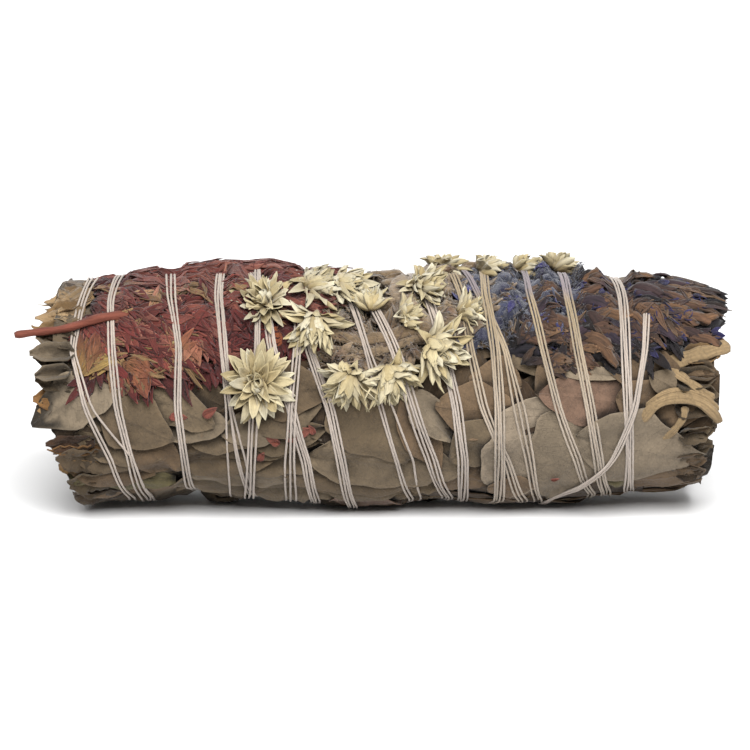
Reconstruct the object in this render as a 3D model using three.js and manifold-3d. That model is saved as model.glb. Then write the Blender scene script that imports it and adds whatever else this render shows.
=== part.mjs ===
// A smudge stick: dried leafy sage stems packed into a bundle about 104 mm long and 33 mm thick, dressed along the
// top with a red, a cream and a blue flower spray, and bound by one cotton thread wound to the right end and back.
// Millimetres, +Z up. X runs along the bundle, -Y is the dressed front, and the bundle lies on the plane z = 0.
import * as THREE from "three";
import { mergeVertices } from "three/addons/utils/BufferGeometryUtils.js";
import Module from "manifold-3d";

const wasm = await Module();
wasm.setup();

// Driving dimensions. Angles round the bundle are in degrees: 0 is the front, 90 the top, -90 the underside.
const BUNDLE_RADIUS = 16.2;
const AXIS_HEIGHT = 17.6;
const LEFT_END = -48.5;
const RIGHT_END = 50.5;
const CUT_SLANT = 6;
const LONG_SIDE_ANGLE = 40;
const TAPER_START = 34;
const TAPER_RATE = 0.0075;
const GAP = 0.3;
const LEAF_THICKNESS = 0.65;
const STEM_RADIUS = 1.5;
const THREAD_WIDTH = 1.7;
const THREAD_THICKNESS = 0.54;
const THREAD_LIFT = 1.0;
const CROSSING_LIFT = 0.85;
const FLOWER_LIFT = 1.5;
const FLOWER_BED_HEIGHT = 0.75;
const FAR = 40;
const FINEST_DETAIL = 0.02;

// Where the bundle's own middle stands from the origin, which is under the middle of the whole part.
const MIDDLE_X = 0.81;
const MIDDLE_Y = 1.21;

const COLOURS = {
  sageLeaf: { color: 0x9a9580, roughness: 0.9 },
  sageInner: { color: 0x8b8266, roughness: 0.9 },
  sageStem: { color: 0x9c7a4a, roughness: 0.85 },
  redFlower: { color: 0x7d3a30, roughness: 0.85 },
  redStem: { color: 0x8a4a3a, roughness: 0.8 },
  creamFlower: { color: 0xd3cb9d, roughness: 0.7 },
  fuzzyStalk: { color: 0x9a8a72, roughness: 0.95 },
  blueFlower: { color: 0x4f5468, roughness: 0.9 },
  purpleFlower: { color: 0x4c3b3a, roughness: 0.9 },
  cotton: { color: 0xd9cfc2, roughness: 0.8 },
};

const radians = THREE.MathUtils.degToRad;
const degrees = THREE.MathUtils.radToDeg;
const lerp = THREE.MathUtils.lerp;
const smooth = THREE.MathUtils.smoothstep;
const wrap = THREE.MathUtils.euclideanModulo;

// A seeded source of numbers from 0 to 1, so that every build gives the same plant.
function seeded(seed) {
  let state = seed;
  return () => {
    state = (state * 1664525 + 1013904223) % 4294967296;
    return state / 4294967296;
  };
}

const between = (random, low, high) => low + (high - low) * random();

// The bundle's own surface

function taper(x) {
  return 1 - TAPER_RATE * Math.max(0, x - TAPER_START) - 0.004 * Math.max(0, -44 - x);
}

// How far an angle is below the bundle: 1 straight under it, 0 from 40 degrees away.
function underside(angle) {
  return 1 - smooth(Math.abs(wrap(angle + 270, 360) - 180), 12, 40);
}

function leafRadius(x, angle) {
  const lumps = 0.15 * Math.sin(0.23 * x + radians(3 * angle)) + 0.12 * Math.sin(0.41 * x - radians(2 * angle));
  return BUNDLE_RADIUS * taper(x) + lumps;
}

// The thickness of the flower strip under the thread.
function flowerStrip(x, angle) {
  const around = smooth(angle, 4, 30) * (1 - smooth(angle, 105, 135));
  const along = smooth(x, -50, -42) * (1 - 0.35 * Math.exp(-(((x - 3) / 9) ** 2)));
  return FLOWER_LIFT * around * along;
}

// The height of the thread's middle. A turn that crosses the others lies over them, except underneath.
function threadRadius(x, angle, crossing) {
  const lift = THREAD_LIFT + (crossing ? CROSSING_LIFT * (1 - underside(angle)) : 0);
  return BUNDLE_RADIUS * taper(x) + lift + flowerStrip(x, wrap(angle + 180, 360) - 180);
}

function place(x, angle, radius) {
  const a = radians(angle);
  return new THREE.Vector3(x, -radius * Math.cos(a), AXIS_HEIGHT + radius * Math.sin(a));
}

// The directions out of the surface, round it and along it at an angle.
function frameAt(angle) {
  const a = radians(angle);
  return {
    out: new THREE.Vector3(0, -Math.cos(a), Math.sin(a)),
    round: new THREE.Vector3(0, Math.sin(a), Math.cos(a)),
    along: new THREE.Vector3(1, 0, 0),
  };
}

function leftEnd(angle) {
  return LEFT_END + (CUT_SLANT * (1 - Math.cos(radians(angle - LONG_SIDE_ANGLE)))) / 2;
}

function rightEnd(angle) {
  return RIGHT_END - (1 - Math.cos(radians(angle - LONG_SIDE_ANGLE)));
}

// Solids from rows of points

// Joins rings of points, each going round a section, into one closed body. The two halves of each ring are split into
// triangles alike, so a thin waved blade doesn't cross itself.
function loft(rings) {
  const n = rings[0].length;
  const faces = [];
  for (let i = 0; i + 1 < rings.length; i++)
    for (let k = 0; k < n; k++) {
      const a = i * n + k;
      const b = i * n + ((k + 1) % n);
      const c = a + n;
      const d = b + n;
      if (2 * k < n) faces.push(a, b, d, a, d, c);
      else faces.push(a, b, c, b, d, c);
    }
  const last = (rings.length - 1) * n;
  for (let k = 1; k + 1 < n; k++) {
    faces.push(0, k + 1, k);
    faces.push(last, last + k, last + k + 1);
  }
  return new THREE.BufferGeometry().setFromPoints(rings.flat()).setIndex(faces);
}

function solid(geometry) {
  geometry.deleteAttribute("normal");
  geometry.deleteAttribute("uv");
  const merged = mergeVertices(geometry, 1e-4);
  const triVerts = new Uint32Array(merged.index.array);
  const vertProperties = new Float32Array(merged.attributes.position.array);
  const made = new wasm.Manifold(new wasm.Mesh({ numProp: 3, vertProperties, triVerts }));
  if (made.volume() > 0) return made;
  for (let i = 0; i < triVerts.length; i += 3) [triVerts[i + 1], triVerts[i + 2]] = [triVerts[i + 2], triVerts[i + 1]];
  return new wasm.Manifold(new wasm.Mesh({ numProp: 3, vertProperties, triVerts }));
}

// The largest outer skin of a solid: loose scraps are dropped and sealed hollows are filled.
function largest(made) {
  return made.decompose().reduce((a, b) => (b.volume() > a.volume() ? b : a));
}

const join = (solids) => solids.reduce((a, b) => a.add(b));
const cut = (from, tools) => tools.reduce((a, b) => a.subtract(b), from);

function mesh(name, made, colour) {
  const { vertProperties, triVerts } = largest(largest(made).simplify(FINEST_DETAIL)).getMesh();
  const geometry = new THREE.BufferGeometry()
    .setAttribute("position", new THREE.BufferAttribute(new Float32Array(vertProperties), 3))
    .setIndex(new THREE.BufferAttribute(new Uint32Array(triVerts), 1));
  geometry.computeVertexNormals();
  const part = new THREE.Mesh(geometry, new THREE.MeshStandardMaterial({ ...COLOURS[colour], metalness: 0 }));
  part.name = name;
  return part;
}

// A prism that holds the angles from low to high. Its two faces are drawn in by half the gap, or moved out if the gap
// is less than nothing.
function wedge(low, high, gap = GAP) {
  const half = (high - low) / 2;
  const apex = gap / 2 / Math.sin(radians(half));
  const section = (x) => {
    const shift = place(x, low + half, apex).sub(place(x, 0, 0));
    return [place(x, low + half, apex), ...[low, low + half, high].map((angle) => place(x, angle, FAR).add(shift))];
  };
  return solid(loft([section(-2 * FAR), section(2 * FAR)]));
}

// Everything within a radius that the function gives: the core of the leaves, or the bed that the flowers lie on.
function roundBody(radiusAt, from, to, sides, rings) {
  const rows = [];
  for (let i = 0; i <= rings; i++)
    rows.push(
      Array.from({ length: sides }, (_, k) => {
        const angle = (360 * k) / sides;
        const x = lerp(from(angle), to(angle), i / rings);
        return place(x, angle, radiusAt(x, angle));
      }),
    );
  return solid(loft(rows));
}

// Sage

const LEAF_STATIONS = [0, 0.3, 0.72, 1];
const leafShape = (t) => Math.max(0.12, Math.sin(Math.PI * t ** 0.85) ** 0.75);

// One leaf laid on the bundle, from its base to its tip. Its keel sinks into the core, unless it is free of it.
function leaf({ from, to, width, depth = 0.1, free = false }) {
  const run = to[0] - from[0];
  const turn = radians(to[1] - from[1]) * BUNDLE_RADIUS;
  const length = Math.hypot(run, turn);
  const rings = LEAF_STATIONS.map((t) => {
    const at = (side, sunk) => {
      const across = (side * leafShape(t) * width) / 2;
      const x = from[0] + run * t - (across * turn) / length;
      const angle = from[1] + (to[1] - from[1]) * t + degrees((across * run) / length / BUNDLE_RADIUS);
      return place(x, angle, leafRadius(x, angle) - depth - 0.3 * (1 - t) - sunk);
    };
    const top = [at(-1, 0.2), at(0, 0.12), at(1, 0)];
    if (!free) return [...top, at(0, 2.6)];
    return [...top, at(1, LEAF_THICKNESS), at(0, LEAF_THICKNESS + 0.12), at(-1, LEAF_THICKNESS + 0.2)];
  });
  return solid(loft(rings));
}

// The leaves that the front shows, from base to tip: millimetres along the bundle and degrees round it.
const FRONT_LEAVES = [
  { from: [-37, 24], to: [-51.5, -6], width: 8, depth: 0, free: true },
  { from: [-46, -36], to: [-18, -36], width: 8, depth: 0.25 },
  { from: [-44, -56], to: [-14, -50], width: 9 },
  { from: [-41, 12], to: [-25, -10], width: 9, depth: 0.2 },
  { from: [-33, -24], to: [-5, -4], width: 8, depth: 0.25 },
  { from: [-31, 14], to: [-12, 8], width: 9, depth: 0.3 },
  { from: [-22, -50], to: [9, -38], width: 9, depth: 0.1 },
  { from: [-13, 14], to: [9, -10], width: 12, depth: 0 },
  { from: [-16, -20], to: [15, -30], width: 9, depth: 0.15 },
  { from: [5, 24], to: [11.5, -20], width: 6, depth: 0 },
  { from: [24, 22], to: [12, -14], width: 8, depth: 0.3 },
  { from: [27, 18], to: [16, -48], width: 9, depth: 0.15 },
  { from: [37, 16], to: [24, -56], width: 11, depth: 0.1 },
  { from: [29, -16], to: [49.5, -32], width: 11, depth: 0, free: true },
  { from: [29, 21], to: [46, 18], width: 7, depth: 0 },
  { from: [38, -46], to: [50, -50], width: 8, depth: 0.3 },
];

// Leaves that the photograph doesn't show, laid along a sprig by a seeded rule.
function scatteredLeaves(random, low, high, depth, count) {
  const leaves = [];
  for (let i = 0; i < count; i++) {
    const t = (i + 0.5) / count;
    const start = lerp(-46, 28, (t * 2.4) % 1) + between(random, -2, 2);
    const length = between(random, 19, 27);
    const angle = lerp(low, high, t) + between(random, -4, 4);
    const lean = between(random, -14, 14);
    const ends = [
      [start, angle - lean / 2],
      [start + length, angle + lean / 2],
    ];
    const [from, to] = random() < 0.65 ? ends : ends.reverse();
    leaves.push({ from, to, width: between(random, 8.5, 12), depth: depth + between(random, 0, 0.3) });
  }
  return leaves;
}

const END_STATIONS = [
  { t: 0, wide: 1 },
  { t: 0.75, wide: 0.9 },
  { t: 1, wide: 0.4 },
];

// A leaf inside the bundle that sticks out of one cut end.
function endLeaf(random, angle, radius, side) {
  const width = between(random, 4, 6.5) * Math.min(1, radius / 9);
  const cup = between(random, 0.3, 0.9) * (random() < 0.5 ? -1 : 1);
  const end = side < 0 ? leftEnd(angle) - between(random, 0.6, 2.2) : rightEnd(angle) + between(random, 0.2, 1.6);
  const start = end - 7 * side;
  const rings = END_STATIONS.map(({ t, wide }) => {
    const at = (s, sunk) => {
      const turned = angle + degrees((s * wide * width) / 2 / radius);
      return place(lerp(start, end, t), turned, radius + (s === 0 ? cup : 0) - sunk);
    };
    return [at(-1, 0), at(0, 0), at(1, 0), at(1, LEAF_THICKNESS), at(0, LEAF_THICKNESS), at(-1, LEAF_THICKNESS)];
  });
  return solid(loft(rings));
}

// The flat stalks of folded leaves that loop at the right end: millimetres along, degrees round, and height.
const LEAF_STALKS = [
  { width: 2.0, points: [[39.6, -4, 0], [42, 8, 0.9], [45.8, 13, 1.3], [49.3, 10, 1.2], [51.2, 0, 0.9], [50.4, -9, -0.2]] },
  { width: 1.9, points: [[44, 22, 0], [47.5, 19, 1.1], [50.4, 10, 1.0], [51.6, -3, 0.6]] },
  { width: 1.5, points: [[43, -22, -0.2], [45.4, -9, 0.8], [46.5, 0, 1.1], [46.8, 12, 0.6]] },
];
const STRIP_SECTION = [[-0.5, 0.3], [0.5, 0.3], [0.5, -0.4], [-0.5, -0.4]];

function leafStalk({ width, points }) {
  const curve = new THREE.CatmullRomCurve3(points.map(([x, angle, lift]) => place(x, angle, leafRadius(x, angle) + lift)));
  const steps = 8;
  const rings = [];
  for (let i = 0; i <= steps; i++) {
    const middle = curve.getPointAt(i / steps);
    const out = new THREE.Vector3(0, middle.y, middle.z - AXIS_HEIGHT).normalize();
    const across = new THREE.Vector3().crossVectors(curve.getTangentAt(i / steps), out).normalize();
    rings.push(STRIP_SECTION.map(([s, h]) => middle.clone().addScaledVector(across, s * width).addScaledVector(out, h)));
  }
  return solid(loft(rings));
}

// A woody stem along the bundle, cut off slanting at the left end.
function stem({ angle, reach, end, radius, size }, grow = 0) {
  const sides = 7;
  const stations = [leftEnd(angle) - reach - grow, -30, 5, end + grow];
  const rings = stations.map((x, i) =>
    Array.from({ length: sides }, (_, k) => {
      const a = (2 * Math.PI * k) / sides;
      const wander = 0.5 * Math.sin(i * 2.1 + angle);
      const middle = place(x, angle + wander * 2, radius + wander * 0.4);
      const thick = STEM_RADIUS * size * (1 - 0.06 * i) + grow;
      const slant = i === 0 ? 0.9 * Math.cos(a) : 0;
      return middle.add(new THREE.Vector3(slant, thick * Math.cos(a), thick * Math.sin(a)));
    }),
  );
  return solid(loft(rings));
}

// The three places where the bundle's leaves touch the table, each between two turns of the thread.
const LOW_POINTS = [-23.6, 0.6, 28.8];
const LOW_POINT_LENGTH = 4.8;
const LOW_POINT_SECTION = [
  { angle: 244, below: 1.4 },
  { angle: 259, below: -0.4 },
  { angle: 282, below: -0.45 },
  { angle: 288, below: 0.9 },
];

// A folded leaf that stands out of the underside as far as the table, which cuts it flat.
function lowPoint(x) {
  const rings = [-0.5, -0.25, 0.25, 0.5].map((t) => {
    const shy = Math.abs(t) < 0.4 ? 0 : 1.3;
    const at = x + t * LOW_POINT_LENGTH;
    const outside = LOW_POINT_SECTION.map(({ angle, below }) => place(at, angle, AXIS_HEIGHT - below - shy));
    return [...outside, place(at, 288, 14.6), place(at, 244, 14.6)];
  });
  return solid(loft(rings));
}

// Six leafy stems side by side. The wide ones carry the outer leaves, which lap over the narrow ones between them.
const SPRIGS = [
  { low: -45, high: 25, outer: true, seed: 11, ends: 3, stems: { reach: 2.4, end: 38, radius: 9.5, size: 1.15 } },
  { low: 25, high: 75, outer: false, seed: 23, ends: 2, stems: { reach: 1.2, end: 40, radius: 9, size: 0.9 } },
  { low: 75, high: 145, outer: true, seed: 37, ends: 3, stems: { reach: 1.6, end: 36, radius: 9.8, size: 1 } },
  { low: 145, high: 195, outer: false, seed: 41, ends: 2, stems: { reach: 2.6, end: 41, radius: 9, size: 0.85 } },
  { low: 195, high: 265, outer: true, seed: 59, ends: 3, stems: { reach: 1.8, end: 37, radius: 9.5, size: 1.1 } },
  { low: 265, high: 315, outer: false, seed: 67, ends: 2, stems: { reach: 2.2, end: 40, radius: 9, size: 0.95 } },
];
const OVERLAP = 24;
const TUCKED_WIDTH = 50;
const CORE_DEPTH = 0.7;
const TUCKED_DEPTH = 1.5;
const TUCKED_ROOM_DEPTH = 0.75;

const sageBody = (depth) =>
  roundBody(
    (x) => BUNDLE_RADIUS * taper(x) - depth,
    (angle) => leftEnd(angle) + 1.2,
    (angle) => rightEnd(angle) - 1.2,
    20,
    6,
  );
const outerCore = sageBody(CORE_DEPTH);
const tuckedCore = sageBody(CORE_DEPTH + TUCKED_DEPTH);
const tuckedRoom = sageBody(TUCKED_ROOM_DEPTH);
const aboveTable = solid(new THREE.BoxGeometry(4 * FAR, 4 * FAR, 2 * FAR).translate(0, 0, FAR));

function sprigLeaves({ low, high, outer }, random, index) {
  if (index === 0) return FRONT_LEAVES;
  const lap = outer ? OVERLAP * 0.6 : -3;
  return scatteredLeaves(random, low - lap, high + lap, outer ? 0.05 : TUCKED_DEPTH, outer ? 8 : 4);
}

function sprig(one, index) {
  const { low, high, outer, seed, ends, stems } = one;
  const random = seeded(seed);
  const own = wedge(low, high);
  const lap = outer ? OVERLAP : 0;
  let leaves = join(sprigLeaves(one, random, index).map(leaf)).intersect(wedge(low - lap, high + lap));
  if (outer) {
    const below = tuckedRoom.intersect(wedge(low - TUCKED_WIDTH, low, -GAP));
    const above = tuckedRoom.intersect(wedge(high, high + TUCKED_WIDTH, -GAP));
    leaves = cut(leaves, [below, above]);
  }
  const inside = [];
  for (const side of [-1, 1])
    for (let i = 0; i < ends; i++) {
      const angle = lerp(low + 10, high - 10, (i + 0.5) / ends);
      inside.push(endLeaf(random, angle, i % 2 ? between(random, 4.5, 7) : between(random, 11, 13.5), side));
    }
  const parts = [(outer ? outerCore : tuckedCore).intersect(own), leaves, join(inside).intersect(own)];
  if (index === 0) parts.push(join(LEAF_STALKS.map(leafStalk)).intersect(wedge(low, high + OVERLAP)));
  if (index === 4) parts.push(cut(join(LOW_POINTS.map(lowPoint)), [tuckedRoom.intersect(wedge(high, high + 50, -GAP))]));
  return join(parts).subtract(stem({ angle: (low + high) / 2, ...stems }, GAP)).intersect(aboveTable);
}

// Thread

// The winding's turns in the order they are wound. Each gives where the thread crosses the front, in millimetres along
// the bundle, at the six angles of FRONT_ANGLES. The first fourteen run to the right end and the last four run back.
const FRONT_ANGLES = [95, 65, 35, 5, -25, -65];
const TURNS = [
  [-43.0, -44.5, -45.4, -43.4, -39.4, -36.7],
  [-38.7, -39.8, -39.4, -38.5, -36.6, -34.6],
  [-31.0, -30.6, -29.4, -29.5, -28.6, -27.6],
  [-23.4, -23.6, -22.8, -21.9, -20.6, -19.3],
  [-19.3, -16.5, -15.4, -12.6, -10.3, -9.0],
  [-13.2, -12.2, -9.8, -6.8, -5.1, -3.4],
  [-4.9, -3.9, -1.3, 1.1, 3.4, 5.8],
  [-2.9, -0.9, 2.9, 5.7, 8.5, 11.1],
  [5.4, 7.9, 10.3, 12.2, 13.3, 13.3],
  [11.2, 13.0, 14.3, 16.2, 19.8, 22.6],
  [13.2, 15.6, 19.5, 21.6, 23.2, 24.8],
  [22.5, 23.2, 25.1, 27.4, 30.4, 33.0],
  [28.2, 28.9, 30.4, 32.1, 33.6, 35.0],
  [36.3, 37.2, 37.5, 37.9, 38.2, 38.5],
  [41.2, 40.9, 40.4, 39.0, 35.7, 26.2],
  [16.3, 16.6, 18.0, 18.6, 18.8, 18.7],
  [-11.5, -11.5, -11.6, -12.4, -12.8, -12.7],
  [-17.8, -17.6, -17.6, -18.1, -18.6, -19.1],
];
const TURN_START = 95;
const THREAD_STEP = 22.5;
const STEPS_A_TURN = 360 / THREAD_STEP;
const FIRST_RETURNING_TURN = 14;

// The thread's place along the bundle at an angle of a turn, which runs down the front and up the back.
function threadX(turn, angle) {
  const here = TURNS[turn];
  const next = TURNS[turn + 1] ?? here.map((x) => x - 3);
  const k = FRONT_ANGLES.findIndex((a, i) => i < 5 && angle <= a && angle >= FRONT_ANGLES[i + 1]);
  if (k >= 0) return lerp(here[k], here[k + 1], (FRONT_ANGLES[k] - angle) / (FRONT_ANGLES[k] - FRONT_ANGLES[k + 1]));
  return lerp(here[5], next[0], (FRONT_ANGLES[5] - angle) / (FRONT_ANGLES[5] - TURN_START + 360));
}

const BAND_SECTION = [[-1, -0.7], [-0.75, 1], [0.75, 1], [1, -0.7]];

// One turn of the flat band that the thread's strands make side by side.
function threadTurn(turn, grow = 0) {
  const rings = [];
  for (let step = 0; step <= STEPS_A_TURN; step++) {
    const angle = TURN_START - step * THREAD_STEP;
    const x = threadX(turn, angle);
    const returning = turn >= FIRST_RETURNING_TURN || (turn === FIRST_RETURNING_TURN - 1 && step === STEPS_A_TURN);
    const radius = threadRadius(x, angle, returning);
    const before = threadX(turn, Math.min(TURN_START, angle + THREAD_STEP));
    const after = threadX(turn, Math.max(TURN_START - 360, angle - THREAD_STEP));
    const inner = step > 0 && step < STEPS_A_TURN;
    const slope = inner ? (after - before) / (2 * radians(THREAD_STEP) * radius) : 0;
    const { out, round, along } = frameAt(angle);
    const across = along.addScaledVector(round, slope).normalize();
    const middle = place(x, angle, radius);
    const w = THREAD_WIDTH / 2 + grow;
    const h = THREAD_THICKNESS / 2 + grow;
    rings.push(BAND_SECTION.map(([s, up]) => middle.clone().addScaledVector(across, s * w).addScaledVector(out, up * h)));
  }
  return solid(loft(rings));
}

const thread = join(TURNS.map((_, turn) => threadTurn(turn)));
const threadRoom = TURNS.map((_, turn) => threadTurn(turn, GAP));

// Flowers

// One pointed bract: three corners at its root, three at its widest, and a tip. It is flat across and keeled above.
function bract(root, direction, upward, { length, width, thick = 0.8 }) {
  const across = new THREE.Vector3().crossVectors(direction, upward).normalize();
  const up = new THREE.Vector3().crossVectors(across, direction).normalize();
  const ring = (t, size) => {
    const middle = root.clone().addScaledVector(direction, length * t).addScaledVector(up, 0.12 * length * t * t);
    return [[-0.5, 0], [0, 1], [0.5, 0]].map(([s, h]) =>
      middle.clone().addScaledVector(across, s * width * size).addScaledVector(up, (h - 0.4) * thick * size),
    );
  };
  const points = [...ring(0, 0.55), ...ring(0.5, 1), ...ring(1, 0).slice(0, 1)];
  const faces = [0, 2, 1];
  for (let k = 0; k < 3; k++) {
    const m = (k + 1) % 3;
    faces.push(k, m, m + 3, k, m + 3, k + 3, k + 3, m + 3, 6);
  }
  return solid(new THREE.BufferGeometry().setFromPoints(points).setIndex(faces));
}

const MOUND_STATIONS = [
  { t: 0, swell: 0.35 },
  { t: 0.15, swell: 0.9 },
  { t: 0.5, swell: 1.05 },
  { t: 0.85, swell: 0.9 },
  { t: 1, swell: 0.35 },
];

// A low mound along a path on the bundle, which a spike's bracts stand out of.
function mound({ from, to, halfWidth, height }, grow = 0) {
  const rings = MOUND_STATIONS.map(({ t, swell }) => {
    const x = lerp(from[0], to[0], t);
    const angle = lerp(from[1], to[1], t);
    return Array.from({ length: 8 }, (_, k) => {
      const a = radians(45 * k);
      const turned = angle + degrees(((halfWidth + grow) * swell * Math.cos(a)) / BUNDLE_RADIUS);
      return place(x, turned, BUNDLE_RADIUS * taper(x) + 0.2 + (height * swell + grow) * Math.sin(a));
    });
  });
  return solid(loft(rings));
}

// The bracts of a spike: rows of them along its path, each leaning outwards and to one side.
function spikeBracts(random, { from, to, halfWidth, height, rows, perRow, size, fan }) {
  const made = [];
  for (let row = 0; row < rows; row++)
    for (let k = 0; k < perRow; k++) {
      const t = (row + random()) / rows;
      const across = lerp(-1, 1, (k + random()) / perRow);
      const x = lerp(from[0], to[0], t);
      const angle = lerp(from[1], to[1], t) + degrees((across * halfWidth * 0.85) / BUNDLE_RADIUS);
      const { out, round, along } = frameAt(angle);
      const turn = radians(across * fan + between(random, -35, 35));
      const rise = radians(between(random, 5, 38));
      const direction = along.multiplyScalar(Math.cos(turn) * Math.cos(rise));
      direction.addScaledVector(round, Math.sin(turn) * Math.cos(rise)).addScaledVector(out, Math.sin(rise));
      const root = place(x, angle, BUNDLE_RADIUS * taper(x) + height * (1 - 0.6 * across * across) - 0.3);
      const scale = between(random, 0.75, 1.2);
      made.push(bract(root, direction, out, { length: size.length * scale, width: size.width * scale }));
    }
  return made;
}

const flowerBed = roundBody(
  (x) => BUNDLE_RADIUS * taper(x) + FLOWER_BED_HEIGHT,
  () => -70,
  () => 70,
  20,
  8,
);

// Each spike lies along the bundle; bounds is the range of angles that it keeps to.
const SPIKES = [
  {
    name: "red_flower_spike_upper", colour: "redFlower", seed: 101, bounds: [67, 175],
    from: [-44, 84], to: [-11.5, 84], halfWidth: 5.2, height: 2.0,
    rows: 9, perRow: 3, size: { length: 5.4, width: 2.3 }, fan: 40,
  },
  {
    name: "red_flower_spike_lower", colour: "redFlower", seed: 103, bounds: [-40, 67],
    from: [-43, 36], to: [-12, 47], halfWidth: 5.0, height: 1.8,
    rows: 9, perRow: 3, size: { length: 5.2, width: 2.3 }, fan: 75,
  },
  {
    name: "blue_flower_spike_left", colour: "blueFlower", seed: 107, bounds: [0, 175],
    from: [14.5, 66], to: [27, 82], halfWidth: 5.6, height: 2.3,
    rows: 4, perRow: 4, size: { length: 3, width: 2.6 }, fan: 60,
  },
  {
    name: "blue_flower_spike_right", colour: "purpleFlower", seed: 109, bounds: [0, 175],
    from: [24, 58], to: [50.5, 62], halfWidth: 6.6, height: 2.1,
    rows: 7, perRow: 4, size: { length: 5.4, width: 2.4 }, fan: 30,
  },
];

// Each cream head: where it sits, which way it faces along the surface, how far it stands up from it, and its size.
const HEADS = [
  { at: [-17.6, 17], facing: 0, rise: 84, size: 4.1 },
  { at: [-16.3, 60], facing: 170, rise: 65, size: 4.0 },
  { at: [-10.8, 64], facing: 160, rise: 25, size: 4.6 },
  { at: [-7.4, 49], facing: -70, rise: 35, size: 4.6 },
  { at: [-5.3, 79], facing: 105, rise: 48, size: 4.5 },
  { at: [-0.6, 55], facing: 100, rise: 35, size: 3.8 },
  { at: [3.6, 51], facing: 10, rise: 25, size: 3.6 },
  { at: [-3.2, 24], facing: -115, rise: 20, size: 4.8 },
  { at: [1.8, 26], facing: -70, rise: 20, size: 5.0 },
  { at: [7.8, 36], facing: -30, rise: 30, size: 5.2 },
  { at: [6.4, 73], facing: -20, rise: 40, size: 4.6 },
  { at: [12.4, 53], facing: 15, rise: 20, size: 3.8 },
  { at: [9.5, 95], facing: 30, rise: 40, size: 4.0 },
  { at: [15.6, 92], facing: 5, rise: 22, size: 4.4 },
  { at: [21.0, 99], facing: 10, rise: 25, size: 4.2 },
  { at: [27.0, 106], facing: 40, rise: 40, size: 4.0 },
];
const HEAD_LIFT = 1.9;
const HEART_RADIUS = 1.25;

// A cream head is a twenty-sided heart, and a pointed papery bract grows out of each face that is free to open.
function creamHead({ at: [x, angle], facing, rise, size }, grow = 0) {
  const { out, round, along } = frameAt(angle);
  const [f, r] = [radians(facing), radians(rise)];
  const axis = along.multiplyScalar(Math.cos(f) * Math.cos(r));
  axis.addScaledVector(round, Math.sin(f) * Math.cos(r)).addScaledVector(out, Math.sin(r));
  const middle = place(x, angle, BUNDLE_RADIUS * taper(x) + HEAD_LIFT);
  const ball = new THREE.IcosahedronGeometry(HEART_RADIUS + grow, 0).deleteAttribute("normal").deleteAttribute("uv");
  ball.applyQuaternion(new THREE.Quaternion().setFromUnitVectors(new THREE.Vector3(0, 0, 1), axis));
  const heart = mergeVertices(ball, 1e-4);
  const points = Array.from({ length: heart.attributes.position.count }, (_, i) =>
    new THREE.Vector3().fromBufferAttribute(heart.attributes.position, i),
  );
  const faces = [];
  for (let i = 0; i < heart.index.count; i += 3) {
    const corners = [0, 1, 2].map((k) => heart.index.getX(i + k));
    const centre = corners.reduce((sum, c) => sum.add(points[c]), new THREE.Vector3()).divideScalar(3);
    const normal = centre.clone().normalize();
    if (normal.dot(axis) < -0.2 || normal.dot(out) < -0.45) {
      faces.push(...corners);
      continue;
    }
    const length = size * (0.82 + 0.18 * Math.sin(5 * i + angle)) - HEART_RADIUS;
    const direction = normal.clone().addScaledVector(axis, 0.3).normalize();
    const first = points.length;
    for (const c of corners) {
      const offset = points[c].clone().sub(centre);
      points.push(centre.clone().addScaledVector(direction, length * 0.5).addScaledVector(offset, 1.15));
    }
    points.push(centre.clone().addScaledVector(direction, length + grow));
    for (let k = 0; k < 3; k++) {
      const m = (k + 1) % 3;
      faces.push(corners[k], corners[m], first + m, corners[k], first + m, first + k, first + k, first + m, first + 3);
    }
  }
  return solid(new THREE.BufferGeometry().setFromPoints(points.map((p) => p.add(middle))).setIndex(faces));
}

// A stalk on the bundle, as points along, round and above it, with its thickness.
function surfaceTube({ points, radii, sides = 6, steps = 6 }, grow = 0) {
  const curve = new THREE.CatmullRomCurve3(points.map(([x, angle, lift]) => place(x, angle, BUNDLE_RADIUS * taper(x) + lift)));
  const rings = [];
  for (let i = 0; i <= steps; i++) {
    const middle = curve.getPointAt(i / steps);
    const tangent = curve.getTangentAt(i / steps);
    const out = new THREE.Vector3(0, middle.y, middle.z - AXIS_HEIGHT).normalize();
    const across = new THREE.Vector3().crossVectors(tangent, out).normalize();
    const up = new THREE.Vector3().crossVectors(across, tangent).normalize();
    const radius = lerp(radii[0], radii[1], i / steps) + grow;
    middle.addScaledVector(tangent, i === 0 ? -grow : i === steps ? grow : 0);
    rings.push(
      Array.from({ length: sides }, (_, k) => {
        const a = (2 * Math.PI * k) / sides;
        return middle.clone().addScaledVector(across, radius * Math.cos(a)).addScaledVector(up, radius * Math.sin(a));
      }),
    );
  }
  return solid(loft(rings));
}

const RED_STEM = { points: [[-54, 43, 1.7], [-47, 47, 1.7], [-40, 51, 1.65], [-33, 52, 1.65]], radii: [0.65, 0.85] };
const FUZZY_STALKS = [
  { points: [[-11, 50, 1.6], [-4, 40, 1.75], [3, 43, 1.8], [9, 47, 1.8], [13.5, 50, 1.8]], radii: [0.85, 1.0] },
  { points: [[9, 47, 1.8], [5, 60, 1.85], [3, 70, 1.85], [5, 84, 1.9], [13, 92, 1.8]], radii: [0.95, 1.05] },
];

// Assembly. What lies further out keeps its shape, and what it presses on is cut clear of it.

const part = new THREE.Group();
part.name = "smudge_stick";
part.position.set(MIDDLE_X, MIDDLE_Y, 0);

part.add(mesh("binding_thread", thread, "cotton"));

const fuzzy = join(FUZZY_STALKS.map((path) => surfaceTube(path)));
const fuzzyRoom = join(FUZZY_STALKS.map((path) => surfaceTube(path, GAP)));
part.add(mesh("cream_flower_stalk", cut(fuzzy, [flowerBed, ...threadRoom]), "fuzzyStalk"));

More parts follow.
